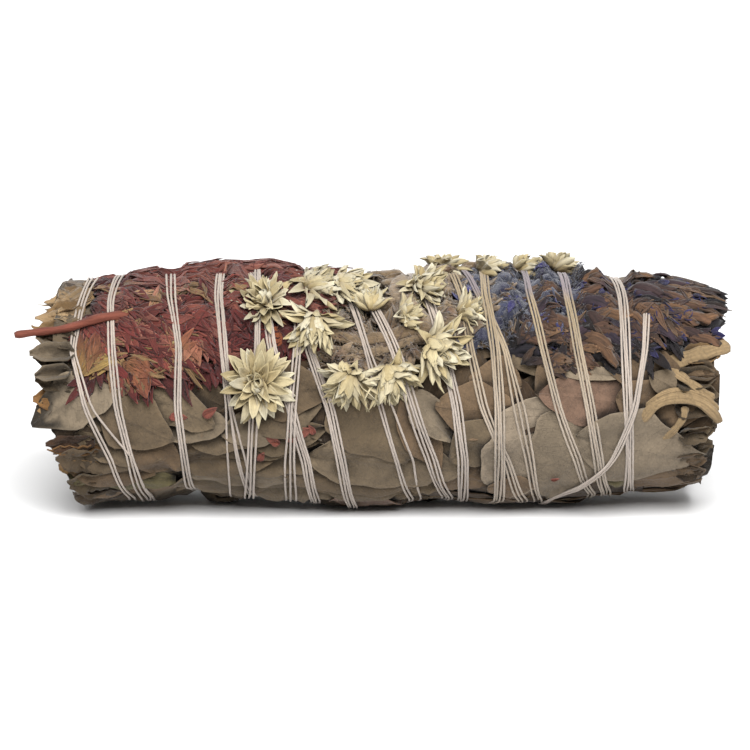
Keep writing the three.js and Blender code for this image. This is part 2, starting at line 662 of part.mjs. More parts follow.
const headRooms = HEADS.map((head) => creamHead(head, GAP));
HEADS.forEach((head, i) => {
  const made = cut(creamHead(head), [flowerBed, fuzzyRoom, ...threadRoom, ...headRooms.slice(0, i)]);
  part.add(mesh(`cream_flower_head_${String(i + 1).padStart(2, "0")}`, made, "creamFlower"));
});

const redStem = surfaceTube(RED_STEM);
const redStemRoom = surfaceTube(RED_STEM, GAP);
part.add(mesh("red_flower_stem", cut(redStem, [flowerBed, ...threadRoom]), "redStem"));

let earlierSpike = [];
for (const spike of SPIKES) {
  const whole = join([mound(spike), ...spikeBracts(seeded(spike.seed), spike)]).intersect(wedge(...spike.bounds));
  const made = cut(whole, [flowerBed, ...threadRoom, ...headRooms, redStemRoom, fuzzyRoom, ...earlierSpike]);
  part.add(mesh(spike.name, made, spike.colour));
  earlierSpike = spike.name === "blue_flower_spike_left" ? [mound(spike, GAP), made] : [];
}

SPRIGS.forEach((one, i) => {
  part.add(mesh(`sage_sprig_${i + 1}`, sprig(one, i), one.outer ? "sageLeaf" : "sageInner"));
  part.add(mesh(`sage_stem_${i + 1}`, stem({ angle: (one.low + one.high) / 2, ...one.stems }), "sageStem"));
});

export default part;
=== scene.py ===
import math

import bpy
import numpy as np
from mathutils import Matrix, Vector


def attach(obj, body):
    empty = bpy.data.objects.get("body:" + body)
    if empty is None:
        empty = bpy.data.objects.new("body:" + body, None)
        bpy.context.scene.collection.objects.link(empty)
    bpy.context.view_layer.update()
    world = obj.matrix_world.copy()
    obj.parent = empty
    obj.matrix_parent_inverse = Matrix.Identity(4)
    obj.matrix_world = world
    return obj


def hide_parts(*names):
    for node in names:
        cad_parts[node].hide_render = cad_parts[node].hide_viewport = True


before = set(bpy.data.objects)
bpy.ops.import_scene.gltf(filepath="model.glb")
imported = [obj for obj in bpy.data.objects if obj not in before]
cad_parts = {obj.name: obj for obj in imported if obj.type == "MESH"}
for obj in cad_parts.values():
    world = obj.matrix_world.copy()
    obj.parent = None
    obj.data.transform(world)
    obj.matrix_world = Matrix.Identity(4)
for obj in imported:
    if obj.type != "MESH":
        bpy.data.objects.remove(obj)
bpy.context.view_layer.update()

MM = 0.001

# The bundle. Angles round it are in degrees: 0 is the front, 90 the top, -90 the underside.
BUNDLE_RADIUS = 16.2
AXIS_HEIGHT = 17.6
LEFT_END = -48.5
RIGHT_END = 50.5
CUT_SLANT = 6
LONG_SIDE_ANGLE = 40
TAPER_START = 34
TAPER_RATE = 0.0075
MIDDLE = np.array([0.81, 1.21, 0.0])
GIRTH = 2 * math.pi * BUNDLE_RADIUS

CORE_HEIGHT = -1.9
LEAF_HEIGHT = 0.45
LEAF_THICKNESS = 0.28
FLOWER_ROOM = 2.0
STRAND_RADIUS = 0.165
STRAND_SIDES = 6
STRAND_LIFT = 0.12
CROSSING_LIFT = 0.34
PRESS_SLOPE = 0.7
PRESS_RISE = 0.35
PRESS_REACH = 2.75
PRESS_SOFTNESS = 0.08
SHADE = 0.48

# Hollows of the outline, and with a negative depth swellings, as along, degrees round, depth and reach.
DENTS = [(-28, -70, 1.3, 5), (-17, -68, 0.4, 4), (40, -62, 0.4, 6), (-6, -72, -0.9, 7), (5, -72, -0.7, 6),
         (20, -72, -0.6, 6), (-44, -66, -0.7, 5), (-49, 80, 1.3, 6), (-49, 45, 0.9, 5)]

# How far the flowers stand above the nominal radius along the top, as along and height.
CROWN = [(-53, -1.4), (-47, -0.4), (-42, 0.9), (-36.5, 1.7), (-31, 2.7), (-24, 3.5), (-19.5, 2.9), (-15.5, 3.2),
         (-11, 2.5), (0, 2.1), (10, 2.9), (19, 3.1), (25.5, 3.4), (34, 3.3), (40, 2.8), (46, 2.3), (51, 1.8),
         (54, 1.2)]


# Curves and random draws

def smooth(value, low, high):
    t = np.clip((value - low) / (high - low), 0, 1)
    return t * t * (3 - 2 * t)


def ripple(points, seed, scale):
    """Soft noise from about -1 to 1 with lumps of about that scale, from a few crossing waves."""
    random = np.random.default_rng(seed)
    total = 0
    for _ in range(7):
        wave = random.normal(size=points.shape[-1]) * 3.1 / scale
        total = total + np.sin(points @ wave + random.uniform(0, 6.28))
    return total / 3.6


def blur_line(values, passes):
    for _ in range(passes):
        padded = np.concatenate([values[:1], values, values[-1:]])
        values = (padded[:-2] + 2 * values + padded[2:]) / 4
    return values


def blur_grid(values):
    padded = np.pad(values, 1, mode="edge")
    sides = padded[:-2, 1:-1] + padded[2:, 1:-1] + padded[1:-1, :-2] + padded[1:-1, 2:]
    return (sides + 2 * values) / 6


def refine(grid, times):
    """The same grid with that many steps for each one."""
    rows, columns = grid.shape
    i = np.linspace(0, rows - 1, (rows - 1) * times + 1)
    j = np.linspace(0, columns - 1, (columns - 1) * times + 1)
    i0 = np.minimum(i.astype(int), rows - 2)
    j0 = np.minimum(j.astype(int), columns - 2)
    fi = (i - i0)[:, None]
    fj = (j - j0)[None, :]
    near = grid[i0][:, j0] * (1 - fj) + grid[i0][:, j0 + 1] * fj
    far = grid[i0 + 1][:, j0] * (1 - fj) + grid[i0 + 1][:, j0 + 1] * fj
    return near * (1 - fi) + far * fi


# The bundle's surface

def arc(angle):
    return np.radians(angle) * BUNDLE_RADIUS


def angle_of(around):
    return np.degrees(around / BUNDLE_RADIUS)


def turned(around):
    """The same angle between -180 and 180 degrees."""
    return (angle_of(around) + 180) % 360 - 180


def taper(x):
    return 1 - TAPER_RATE * np.maximum(0, x - TAPER_START) - 0.004 * np.maximum(0, -44 - x)


def nominal(x):
    return BUNDLE_RADIUS * taper(x)


def relief(x, around):
    angle = np.radians(turned(around))
    lumps = 0.15 * np.sin(0.23 * x + 3 * angle) + 0.12 * np.sin(0.41 * x - 2 * angle)
    for at, degrees, depth, reach in DENTS:
        gap = arc((turned(around) - degrees + 180) % 360 - 180)
        lumps = lumps - depth * np.exp(-((x - at) / reach) ** 2 - (gap / 7) ** 2)
    return lumps


def left_end(angle):
    return LEFT_END + CUT_SLANT * (1 - np.cos(np.radians(angle - LONG_SIDE_ANGLE))) / 2


def right_end(angle):
    return RIGHT_END - (1 - np.cos(np.radians(angle - LONG_SIDE_ANGLE)))


def crown(x):
    along, height = np.array(CROWN).T
    return np.interp(x, along, height)


def from_axis(points):
    """Bundle points (x, radius, angle in degrees) in the frame's metres."""
    x, radius, angle = points[..., 0], points[..., 1], np.radians(points[..., 2])
    y = -radius * np.cos(angle)
    z = np.maximum(0.02, AXIS_HEIGHT + radius * np.sin(angle))
    return (np.stack([x, y, z], -1) + MIDDLE) * MM


def rolled_up(points):
    """Unrolled points in the frame's metres."""
    x, around, up = points[..., 0], points[..., 1], points[..., 2]
    return from_axis(np.stack([x, nominal(x) + up + relief(x, around), angle_of(around)], -1))


class Field:
    """A number at every place of the unrolled bundle, such as the height of what lies there."""

    CELL = 0.25
    LEFT = -62.0
    ROWS = 497
    COLUMNS = 407

    def __init__(self, value):
        self.value = np.full((self.ROWS, self.COLUMNS), float(value))

    def cell(self, x, around):
        i = np.clip((x - self.LEFT) / self.CELL, 0, self.ROWS - 1.001)
        return i, (around % GIRTH) / GIRTH * self.COLUMNS

    def at(self, x, around):
        i, j = self.cell(x, around)
        i0, j0 = i.astype(int), np.floor(j).astype(int)
        fi, fj = i - i0, j - j0
        j0, j1 = j0 % self.COLUMNS, (j0 + 1) % self.COLUMNS
        near = self.value[i0, j0] * (1 - fj) + self.value[i0, j1] * fj
        far = self.value[i0 + 1, j0] * (1 - fj) + self.value[i0 + 1, j1] * fj
        return near * (1 - fi) + far * fi

    def nearest(self, x, around):
        i, j = self.cell(x, around)
        return np.rint(i).astype(int), np.rint(j).astype(int) % self.COLUMNS

    def raise_to(self, x, around, value):
        i, j = self.nearest(x, around)
        np.maximum.at(self.value.reshape(-1), (i * self.COLUMNS + j).ravel(), value.ravel())

    def lower_to(self, x, around, value):
        i, j = self.nearest(x, around)
        np.minimum.at(self.value.reshape(-1), (i * self.COLUMNS + j).ravel(), value.ravel())

    def places(self):
        x = self.LEFT + self.CELL * np.arange(self.ROWS)[:, None]
        around = GIRTH * np.arange(self.COLUMNS)[None, :] / self.COLUMNS
        return np.broadcast_arrays(x, around)

    def blurred(self, reach):
        """The field without anything much smaller than that reach, and level beyond the bundle's ends."""
        first = int((LEFT_END + 3 - self.LEFT) / self.CELL)
        last = int((RIGHT_END - 3 - self.LEFT) / self.CELL)
        level = self.value[np.clip(np.arange(self.ROWS), first, last)]
        waves = np.fft.fftfreq(self.ROWS)[:, None] ** 2 + np.fft.fftfreq(self.COLUMNS)[None] ** 2
        kept = np.exp(-2 * (math.pi * reach / self.CELL) ** 2 * waves)
        made = Field(0)
        made.value = np.real(np.fft.ifft2(np.fft.fft2(level) * kept))
        return made


class Pack:
    """The laid leaves pressed together: their top follows the bundle, and the steps between leaves stay."""

    def __init__(self, laid):
        self.low = laid.blurred(3.5)
        self.mean = float(self.low.value.mean())
        x, around = laid.places()
        self.top = Field(0)
        self.top.value = self.settled(x, around, laid.value)
        self.near = self.top.blurred(0.5)

    def settled(self, x, around, height):
        low = self.low.at(x, around)
        level = LEAF_HEIGHT + 0.25 * (low - self.mean) + (height - low)
        over = np.maximum(0, level - 0.8)
        under = np.minimum(0, level + 1.2)
        return np.clip(level, -1.2, 0.8) + 0.6 * (1 - np.exp(-over / 0.6)) - 0.5 * (1 - np.exp(under / 0.5))


# Meshes

class Bag:
    """Closed bodies gathered for one piece, with each point's colour and its place in its own pattern."""

    def __init__(self):
        self.points, self.faces, self.tints, self.places = [], [], [], []
        self.size = 0

    def add(self, points, faces, tint, places):
        points = points.reshape(-1, 3)
        if np.ndim(tint) == 1:
            tint = np.broadcast_to(tint, (len(points), 3))
        self.points.append(points)
        self.faces.append(faces + self.size)
        self.tints.append(tint.reshape(-1, 3))
        self.places.append(places.reshape(-1, 2))
        self.size += len(points)

    def add_tube(self, rings, tint):
        """A closed body from rings on the unrolled bundle."""
        faces, places = loft(rings)
        self.add(rolled_up(rings), faces, tint, places)

    def piece(self, name, material, slot, *nodes):
        points = np.concatenate(self.points).astype(np.float32)
        faces = np.concatenate(self.faces)
        mesh = bpy.data.meshes.new(name)
        mesh.vertices.add(len(points))
        mesh.vertices.foreach_set("co", points.ravel())
        mesh.loops.add(faces.size)
        mesh.loops.foreach_set("vertex_index", faces.ravel().astype(np.int32))
        mesh.polygons.add(len(faces))
        mesh.polygons.foreach_set("loop_start", np.arange(0, faces.size, 4, dtype=np.int32))
        mesh.polygons.foreach_set("use_smooth", np.ones(len(faces), bool))
        tint = mesh.attributes.new("tint", "FLOAT_COLOR", "POINT")
        colours = np.ones((len(points), 4), np.float32)
        colours[:, :3] = np.concatenate(self.tints)
        tint.data.foreach_set("color", colours.ravel())
        layer = mesh.uv_layers.new(name="place")
        layer.data.foreach_set("uv", np.concatenate(self.places)[faces.ravel()].astype(np.float32).ravel())
        mesh.update(calc_edges=True)
        mesh.validate()
        mesh.materials.append(material)
        made = bpy.data.objects.new(name, mesh)
        bpy.context.scene.collection.objects.link(made)
        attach(made, "root")
        if nodes:
            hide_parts(*nodes)


def ring_turns(sides):
    return 2 * np.pi * np.arange(sides) / sides


def loft(rings):
    """Rings of points (count, even number of sides, 3) joined into one closed body: its faces and places."""
    count, sides, _ = rings.shape
    index = np.arange(count * sides).reshape(count, sides)
    a, b = index[:-1], index[1:]
    walls = np.stack([a, np.roll(a, -1, 1), np.roll(b, -1, 1), b], -1).reshape(-1, 4)
    cap = np.array([[0, k, k + 1, k + 2] for k in range(1, sides - 1, 2)])
    faces = np.concatenate([walls, cap[:, ::-1], cap + (count - 1) * sides])
    places = np.stack(np.meshgrid(np.arange(count) / count, np.arange(sides) / sides, indexing="ij"), -1)
    return faces, places


def tube_rings(path, radii, sides, up):
    """Rings round a path of points, with up as the way that each section's top turns."""
    along = np.gradient(path, axis=0)
    along /= np.linalg.norm(along, axis=1, keepdims=True) + 1e-9
    side = np.cross(np.broadcast_to(up, path.shape), along)
    side /= np.linalg.norm(side, axis=1, keepdims=True) + 1e-9
    top = np.cross(along, side)
    turn = ring_turns(sides)
    radii = np.broadcast_to(radii, (len(path),) if np.ndim(radii) < 2 else (len(path), sides))
    reach = radii if radii.ndim == 2 else radii[:, None]
    across = np.cos(turn)[None, :, None] * side[:, None] + np.sin(turn)[None, :, None] * top[:, None]
    return path[:, None] + reach[..., None] * across


def sheet_faces(rows, columns):
    """The faces of a closed thin body whose lower points come first and its upper points after them."""
    index = np.arange(rows * columns).reshape(rows, columns)
    quads = np.stack([index[:-1, :-1], index[1:, :-1], index[1:, 1:], index[:-1, 1:]], -1).reshape(-1, 4)
    rim = np.concatenate([index[:-1, 0], index[-1, :-1], index[:0:-1, -1], index[0, :0:-1]])
    after = np.roll(rim, -1)
    upper = rows * columns
    edge = np.stack([after + upper, rim + upper, rim, after], -1)
    return np.concatenate([quads[:, ::-1], quads + upper, edge])


def many(faces, count, size):
    return (faces[None] + size * np.arange(count)[:, None, None]).reshape(-1, 4)


def grid_places(rows, columns, count=1):
    place = np.stack(np.meshgrid(np.linspace(0, 1, rows), np.linspace(-1, 1, columns), indexing="ij"), -1)
    return np.broadcast_to(place, (count, 2, rows, columns, 2))


def unit(vectors):
    return vectors / (np.linalg.norm(vectors, axis=-1, keepdims=True) + 1e-9)


def thicken(middle, thickness):
    """Lower and upper points on both sides of grids of points (count, rows, columns, 3)."""
    normal = unit(np.cross(np.gradient(middle, axis=1), np.gradient(middle, axis=2)))
    shift = normal * thickness / 2
    return np.stack([middle - shift, middle + shift], 1)


def heading(turn, rise):
    """A direction from its turn round the outward axis and its rise above the surface, both in degrees."""
    turn, rise = np.broadcast_arrays(np.radians(turn), np.radians(rise))
    return np.stack([np.cos(turn) * np.cos(rise), np.sin(turn) * np.cos(rise), np.sin(rise)], -1)


def pointed(t):
    return np.sin(np.pi * np.clip(t, 0, 1) ** 0.72) ** 0.85 * 0.97 + 0.03


def strap(t):
    return np.minimum(1, 5 * t + 0.3) * (1 - smooth(t, 0.7, 1.02) * 0.8)


def blades(roots, forward, up, length, width, shape=pointed, bend=0, cup=0, crease=0, wave=0, thickness=0.12,
           rows=7, columns=5, seed=1):
    """Petals, bracts or fibres: thin closed blades, all given as arrays with one row for each blade."""
    count = len(roots)
    t = np.linspace(0, 1, rows)[None, :, None]
    v = np.linspace(-1, 1, columns)[None, None, :]
    each = lambda value: np.broadcast_to(np.asarray(value, float), (count,))[:, None, None]
    length, width, bend = each(length), each(width), np.radians(each(bend))
    half = width / 2 * shape(t)
    bow = np.where(np.abs(bend) < 1e-3, 1e-3, bend)
    ahead = length * np.sin(bow * t) / bow + 0 * v
    rise = length * (1 - np.cos(bow * t)) / bow + each(cup) * half * (v * v - 0.3)
    rise = rise + each(crease) * half * np.abs(v) + 0 * v
    side = half * v
    forward = unit(forward)
    across = unit(np.cross(up, forward))
    over = np.cross(forward, across)
    middle = roots[:, None, None] + ahead[..., None] * forward[:, None, None]
    middle = middle + side[..., None] * across[:, None, None] + rise[..., None] * over[:, None, None]
    if np.any(wave):
        middle = middle + (each(wave) * ripple(middle, seed, 1.3))[..., None] * over[:, None, None]
    points = thicken(middle, thickness)
    faces = many(sheet_faces(rows, columns), count, 2 * rows * columns)
    return points, faces, grid_places(rows, columns, count)


def shaded(base, tip, shape, power=1.0):
    """Colours from base to tip for blades of points (count, 2, rows, columns, 3)."""
    t = np.linspace(0, 1, shape[2])[None, None, :, None, None] ** power
    base = np.asarray(base, float).reshape(-1, 1, 1, 1, 3)
    tip = np.asarray(tip, float).reshape(-1, 1, 1, 1, 3)
    return np.broadcast_to(base + (tip - base) * t, shape[:4] + (3,))


def linear(red, green, blue):
    """The surface colour of what looks like this, 0 to 255, on the front in the studio's light."""
    seen = np.array([red, green, blue]) / 255
    return SHADE * np.where(seen < 0.04045, seen / 12.92, ((seen + 0.055) / 1.055) ** 2.4)


def varied(random, colours, count, spread=0.12):
    """A colour for each of many blades, between the given ones."""
    colours = np.asarray(colours)
    first = colours[random.integers(len(colours), size=count)]
    second = colours[random.integers(len(colours), size=count)]
    mix = random.uniform(0, 0.5, (count, 1))
    return (first * (1 - mix) + second * mix) * random.uniform(1 - spread, 1 + spread, (count, 1))


# Materials

class Finish:
    """A material that starts from the piece's own colours."""

    def __init__(self, name, roughness, sheen=0.0, specular=0.3):
        self.material = bpy.data.materials.new(name)
        self.material.use_nodes = True
        self.tree = self.material.node_tree
        self.shader = self.tree.nodes["Principled BSDF"]
        self.shader.inputs["Roughness"].default_value = roughness
        self.shader.inputs["Sheen Weight"].default_value = sheen
        self.shader.inputs["Specular IOR Level"].default_value = specular
        self.colour = self.node("ShaderNodeAttribute").outputs["Color"]
        self.colour.node.attribute_name = "tint"
        self.object_place = self.node("ShaderNodeTexCoord").outputs["Object"]
        self.height = None

    def node(self, kind, **values):
        made = self.tree.nodes.new(kind)
        for key, value in values.items():
            setattr(made, key, value)
        return made

    def link(self, source, target):
        self.tree.links.new(source, target)

    def noise(self, scale, detail=4, roughness=0.6, stretch=None, place=None):
        """Noise with about that many lumps a metre."""
        made = self.node("ShaderNodeTexNoise")
        made.inputs["Scale"].default_value = scale
        made.inputs["Detail"].default_value = detail
        made.inputs["Roughness"].default_value = roughness
        source = place or self.object_place
        if stretch:
            mapping = self.node("ShaderNodeMapping")
            mapping.inputs["Scale"].default_value = stretch
            self.link(source, mapping.inputs["Vector"])
            source = mapping.outputs["Vector"]
        self.link(source, made.inputs["Vector"])
        return made.outputs["Fac"]

    def ramp(self, source, *stops):
        """Turns a number into grey or colour by stops of place and colour."""
        made = self.node("ShaderNodeValToRGB")
        elements = made.color_ramp.elements
        while len(elements) < len(stops):
            elements.new(0.5)
        for element, (place, colour) in zip(elements, stops):
            element.position = place
            element.color = (*colour, 1) if np.ndim(colour) else (colour, colour, colour, 1)
        self.link(source, made.inputs["Fac"])
        return made.outputs["Color"]

    def math(self, operation, first, second=0.0):
        made = self.node("ShaderNodeMath", operation=operation)
        for value, socket in ((first, made.inputs[0]), (second, made.inputs[1])):
            if isinstance(value, (int, float)):
                socket.default_value = value
            else:
                self.link(value, socket)
        return made.outputs["Value"]

    def blend(self, mode, amount, first, second):
        made = self.node("ShaderNodeMix", data_type="RGBA", blend_type=mode)
        for value, socket in ((amount, made.inputs[0]), (first, made.inputs[6]), (second, made.inputs[7])):
            if isinstance(value, (int, float)):
                socket.default_value = value
            elif isinstance(value, tuple):
                socket.default_value = (*value, 1)
            else:
                self.link(value, socket)
        return made.outputs[2]

    def multiply(self, source, *stops):
        """Darkens and lightens the colour by stops of a number."""
        self.colour = self.blend("MULTIPLY", 1.0, self.colour, self.ramp(source, *stops))

    def stain(self, source, most, colour):
        """Mixes a colour in where the number is high."""
        self.colour = self.blend("MIX", self.math("MULTIPLY", source, most), self.colour, colour)

    def place_parts(self):
        source = self.node("ShaderNodeUVMap", uv_map="place").outputs["UV"]
        parts = self.node("ShaderNodeSeparateXYZ")
        self.link(source, parts.inputs["Vector"])
        return parts.outputs["X"], parts.outputs["Y"]

    def bump(self, source, distance, strength=1.0):
        made = self.node("ShaderNodeBump")
        made.inputs["Distance"].default_value = distance
        made.inputs["Strength"].default_value = strength
        self.link(source, made.inputs["Height"])
        if self.height:
            self.link(self.height, made.inputs["Normal"])
        self.height = made.outputs["Normal"]

    def finished(self):
        self.link(self.colour, self.shader.inputs["Base Color"])
        if self.height:
            self.link(self.height, self.shader.inputs["Normal"])
        return self.material


def leaf_finish():
    """Dry sage: a felted, grainy face with a net of fine veins that meet the midrib, and brown specks."""
    finish = Finish("dried_sage_leaf", 0.88, sheen=0.12, specular=0.2)
    along, across = finish.place_parts()
    side = finish.math("ABSOLUTE", across)
    slanted = finish.math("SUBTRACT", finish.math("MULTIPLY", along, 15.0), finish.math("MULTIPLY", side, 2.6))
    wander = finish.noise(260, 2)
    slanted = finish.math("ADD", slanted, finish.math("MULTIPLY", wander, 1.2))
    waves = finish.math("ABSOLUTE", finish.math("SINE", finish.math("MULTIPLY", slanted, math.pi)))
    veins = finish.ramp(waves, (0.0, 1.0), (0.16, 0.0))
    midrib = finish.ramp(side, (0.0, 1.0), (0.09, 0.0))
    felt = finish.noise(2600, 5, 0.7)
    patches = finish.noise(150, 4, 0.6)
    specks = finish.ramp(finish.noise(900, 3, 0.6), (0.66, 0.0), (0.74, 1.0))
    cracks = finish.ramp(finish.noise(420, 5, 0.7), (0.47, 0.0), (0.5, 1.0), (0.53, 0.0))
    finish.multiply(patches, (0.3, 0.78), (0.7, 1.14))
    finish.multiply(felt, (0.3, 0.86), (0.7, 1.1))
    finish.stain(specks, 0.45, (0.12, 0.075, 0.04))
    finish.stain(veins, 0.16, (0.16, 0.12, 0.08))
    finish.stain(cracks, 0.12, (0.035, 0.022, 0.012))
    finish.bump(cracks, -0.0001, 0.5)
    finish.bump(midrib, 0.0002, 0.5)
    finish.bump(veins, 0.00012, 0.5)
    finish.bump(finish.noise(500, 5, 0.65), 0.00045, 0.6)
    finish.bump(felt, 0.0001, 0.6)
    return finish.finished()


def petal_finish(name, roughness, sheen, streaks, dark, crumple):
    """Dry petals: streaks run along each one, and the surface is crumpled."""
    finish = Finish(name, roughness, sheen=sheen, specular=0.25)
    along, across = finish.place_parts()
    place = finish.node("ShaderNodeCombineXYZ")
    finish.link(finish.math("MULTIPLY", along, 0.6), place.inputs["X"])
    finish.link(finish.math("MULTIPLY", across, streaks), place.inputs["Y"])
    finish.link(finish.noise(90, 1), place.inputs["Z"])
    lines = finish.noise(2.4, 3, 0.6, place=place.outputs["Vector"])
    finish.multiply(lines, (0.34, dark), (0.64, 1.12))
    finish.multiply(finish.noise(420, 3, 0.6), (0.3, 0.8), (0.7, 1.15))
    finish.bump(lines, 0.00022, 0.7)
    finish.bump(finish.noise(1100, 3, 0.6), crumple, 0.6)
    return finish.finished()


def wool_finish(name, grain):
    """Felted stalks and woolly lumps."""
    finish = Finish(name, 0.95, sheen=0.3, specular=0.1)
    fibres = finish.noise(grain, 5, 0.75, stretch=(0.5, 1.2, 1.2))
    finish.multiply(fibres, (0.32, 0.55), (0.68, 1.3))
    finish.bump(fibres, 0.0004, 0.9)
    return finish.finished()


def wood_finish():
    """Woody stems: grain along them and bark cracks."""
    finish = Finish("woody_stem", 0.8, specular=0.25)
    grain = finish.noise(900, 5, 0.7, stretch=(0.12, 1, 1))
    finish.multiply(grain, (0.3, 0.55), (0.68, 1.2))
    finish.bump(grain, 0.0003, 0.8)
    return finish.finished()


def cotton_finish():
    """Two-ply cotton: the plies' slanting lines, and loose fibre."""
    finish = Finish("cotton", 0.75, sheen=0.25, specular=0.25)
    along, around = finish.place_parts()
    turns = finish.math("ADD", along, finish.math("MULTIPLY", around, 2.0))
    plies = finish.math("ABSOLUTE", finish.math("SINE", finish.math("MULTIPLY", turns, math.pi)))
    fibre = finish.noise(3500, 3, 0.6)
    finish.multiply(plies, (0.0, 0.9), (0.45, 1.02))
    finish.multiply(fibre, (0.3, 0.88), (0.7, 1.05))
    finish.bump(plies, 0.00006, 0.6)
    finish.bump(fibre, 0.00004, 0.6)
    return finish.finished()


# Sage leaves

SAGE = [linear(132, 114, 90), linear(118, 101, 78), linear(146, 129, 106), linear(108, 90, 68)]
SAGE_PALE = [linear(168, 151, 129), linear(156, 139, 116)]
SAGE_BROWN = [linear(134, 110, 84), linear(120, 98, 74)]
SAGE_DEEP = [linear(88, 70, 50), linear(74, 56, 38), linear(104, 88, 66)]
SAGE_OLIVE = [linear(118, 108, 74)]
SAGE_PINK = [linear(146, 116, 96)]
KINDS = {"sage": SAGE, "pale": SAGE_PALE, "brown": SAGE_BROWN, "deep": SAGE_DEEP, "olive": SAGE_OLIVE,
         "pink": SAGE_PINK}

# The leaves that the front shows, bottom layer first: base and tip as millimetres along and degrees round, width,
# kind, and then what sets one apart. A leaf ends where the bundle was trimmed, and a free one doesn't.
FRONT_LEAVES = [
    dict(base=(-16, -70), tip=(8, -66), width=9),
    dict(base=(-15, -58), tip=(-47, -60), width=12),
    dict(base=(-46, -45), tip=(-28, -50), width=7, kind="brown"),
    dict(base=(-47, -36), tip=(-30, -42), width=6, kind="olive"),
    dict(base=(-47, -28), tip=(-33, -34), width=6, kind="brown"),
    dict(base=(-46, -20), tip=(-34, -26), width=5),
    dict(base=(-45, -10), tip=(-32, -23), width=6.5),
    dict(base=(-46, 10), tip=(-34, 0), width=7),
    dict(base=(-12, -64), tip=(-30, -52), width=7),
    dict(base=(-20, -60), tip=(10, -54), width=8),
    dict(base=(-28, -52), tip=(2, -45), width=7),
    dict(base=(-31, -45), tip=(-6, -38), width=6.5),
    dict(base=(-7, -57), tip=(4, -66), width=7, kind="pink"),
    dict(base=(-10, -44), tip=(13, -47), width=7),
    dict(base=(-28, -38), tip=(-8, -31), width=5.5),
    dict(base=(-14, -34), tip=(13, -36), width=7),
    dict(base=(-21, -31), tip=(-4, -21), width=5.5),
    dict(base=(-31, -29), tip=(-14, -22), width=5.5),
    dict(base=(-24, -21), tip=(-8, -13), width=5),
    dict(base=(-19, -15), tip=(-7, -6), width=5),
    dict(base=(-28, -14), tip=(-15, -8), width=5),
    dict(base=(-23, -9), tip=(-10, 0), width=5.5),
    dict(base=(-19, -2), tip=(-8, 6), width=6),
    dict(base=(-20, 12), tip=(-6, 14), width=8),
    dict(base=(-31, 18), tip=(-22, 4), width=7),
    dict(base=(-36, -14), tip=(-29.5, -34), width=7.5, kind="brown"),
    dict(base=(-22, -3), tip=(-34, -8), width=6),
    dict(base=(-38, 14), tip=(-24, -4), width=7.5),
    dict(base=(-41, 8), tip=(-30.2, -12.5), width=9, lift=0.5),
    dict(base=(9, -30), tip=(18, -42), width=7, kind="brown"),
    dict(base=(-10, -24), tip=(14, -33), width=9),
    dict(base=(-5, 24), tip=(5, -26), width=14, stiff=14),
    dict(base=(4, 10), tip=(9.8, -33), width=5.5, kind="brown"),
    dict(base=(5.5, 14), tip=(11.4, -13.5), width=5, kind="pale", lift=0.4),
    dict(base=(22, 16), tip=(14, 20), width=7, kind="brown"),
    dict(base=(21, 4), tip=(9, 6), width=8.5, kind="brown"),
    dict(base=(19.5, -8), tip=(11.2, -25), width=8, kind="sage"),
    dict(base=(27, 10), tip=(19, -56), width=13, stiff=14, kind="pale"),
    dict(base=(17, -44), tip=(25, -58), width=7, kind="brown"),
    dict(base=(31, 26), tip=(24, 12), width=8, kind="brown"),
    dict(base=(37, 20), tip=(25.5, -60), width=14, stiff=14, kind="pale"),
    dict(base=(39, 6), tip=(24.5, 12), width=9, kind="pink"),
    dict(base=(46, 34), tip=(33, 34), width=9),
    dict(base=(25.5, 24.5), tip=(37, 20.5), width=2.6, lift=0.5, kind="pale"),
    dict(base=(34, 34), tip=(46, 23), width=8, kind="brown", lift=0.3),
    dict(base=(36, 10), tip=(50, 3), width=9, kind="brown"),
    dict(base=(50, -44), tip=(36, -50), width=9, kind="brown"),
    dict(base=(34, -38), tip=(39, -47), width=4.5, kind="olive"),
    dict(base=(45, 14), tip=(41, 22), width=4),
    dict(base=(30, -10), tip=(49.5, -31), width=12.5, stiff=14, free=True, notch=True, kind="pale"),
    dict(base=(-37, 24), tip=(-51.5, -6), width=8, free=True, lift=0.5, kind="pale"),
]


def leaf_outline(t):
    return np.maximum(0.07, np.sin(np.pi * t ** 0.85) ** 0.72)


def leaf_grid(leaf, random):
    """A leaf's outline on the unrolled bundle: where each of its points is along and round."""
    base = np.array([leaf["base"][0], arc(leaf["base"][1])])
    run = np.array([leaf["tip"][0], arc(leaf["tip"][1])]) - base
    length = np.hypot(*run)
    along = run / length
    rows = int(np.clip(length / leaf.get("step", 0.9), 12, 38))
    columns = leaf.get("columns", 15)
    t = np.linspace(0, 1, rows)[:, None]
    v = np.sin(np.pi / 2 * np.linspace(-1, 1, columns))[None, :]
    phase = random.uniform(0, 6.28, 4)
    uneven = 1 + 0.06 * np.sin(t * length / 0.9 + phase[0] + 2 * np.sign(v)) * np.abs(v)
    uneven = uneven + 0.1 * np.sin(t * length / 2.3 + phase[1] - 3 * np.sign(v))
    half = leaf["width"] / 2 * leaf_outline(t) * uneven
    bow = random.uniform(-0.05, 0.05) * length * np.sin(np.pi * t)
    ahead = t * length + 0 * v
    if leaf.get("notch"):
        ahead = ahead - 3.4 * smooth(t, 0.8, 1) * np.exp(-(((v + 0.25) / 0.35) ** 2))
        half = np.maximum(half, leaf["width"] / 2 * (1.15 - 0.95 * t) * smooth(t, 0.4, 0.7))
    side = half * v + bow
    x = base[0] + along[0] * ahead - along[1] * side
    around = base[1] + along[1] * ahead + along[0] * side
    return x, around, t + 0 * v, v + 0 * t


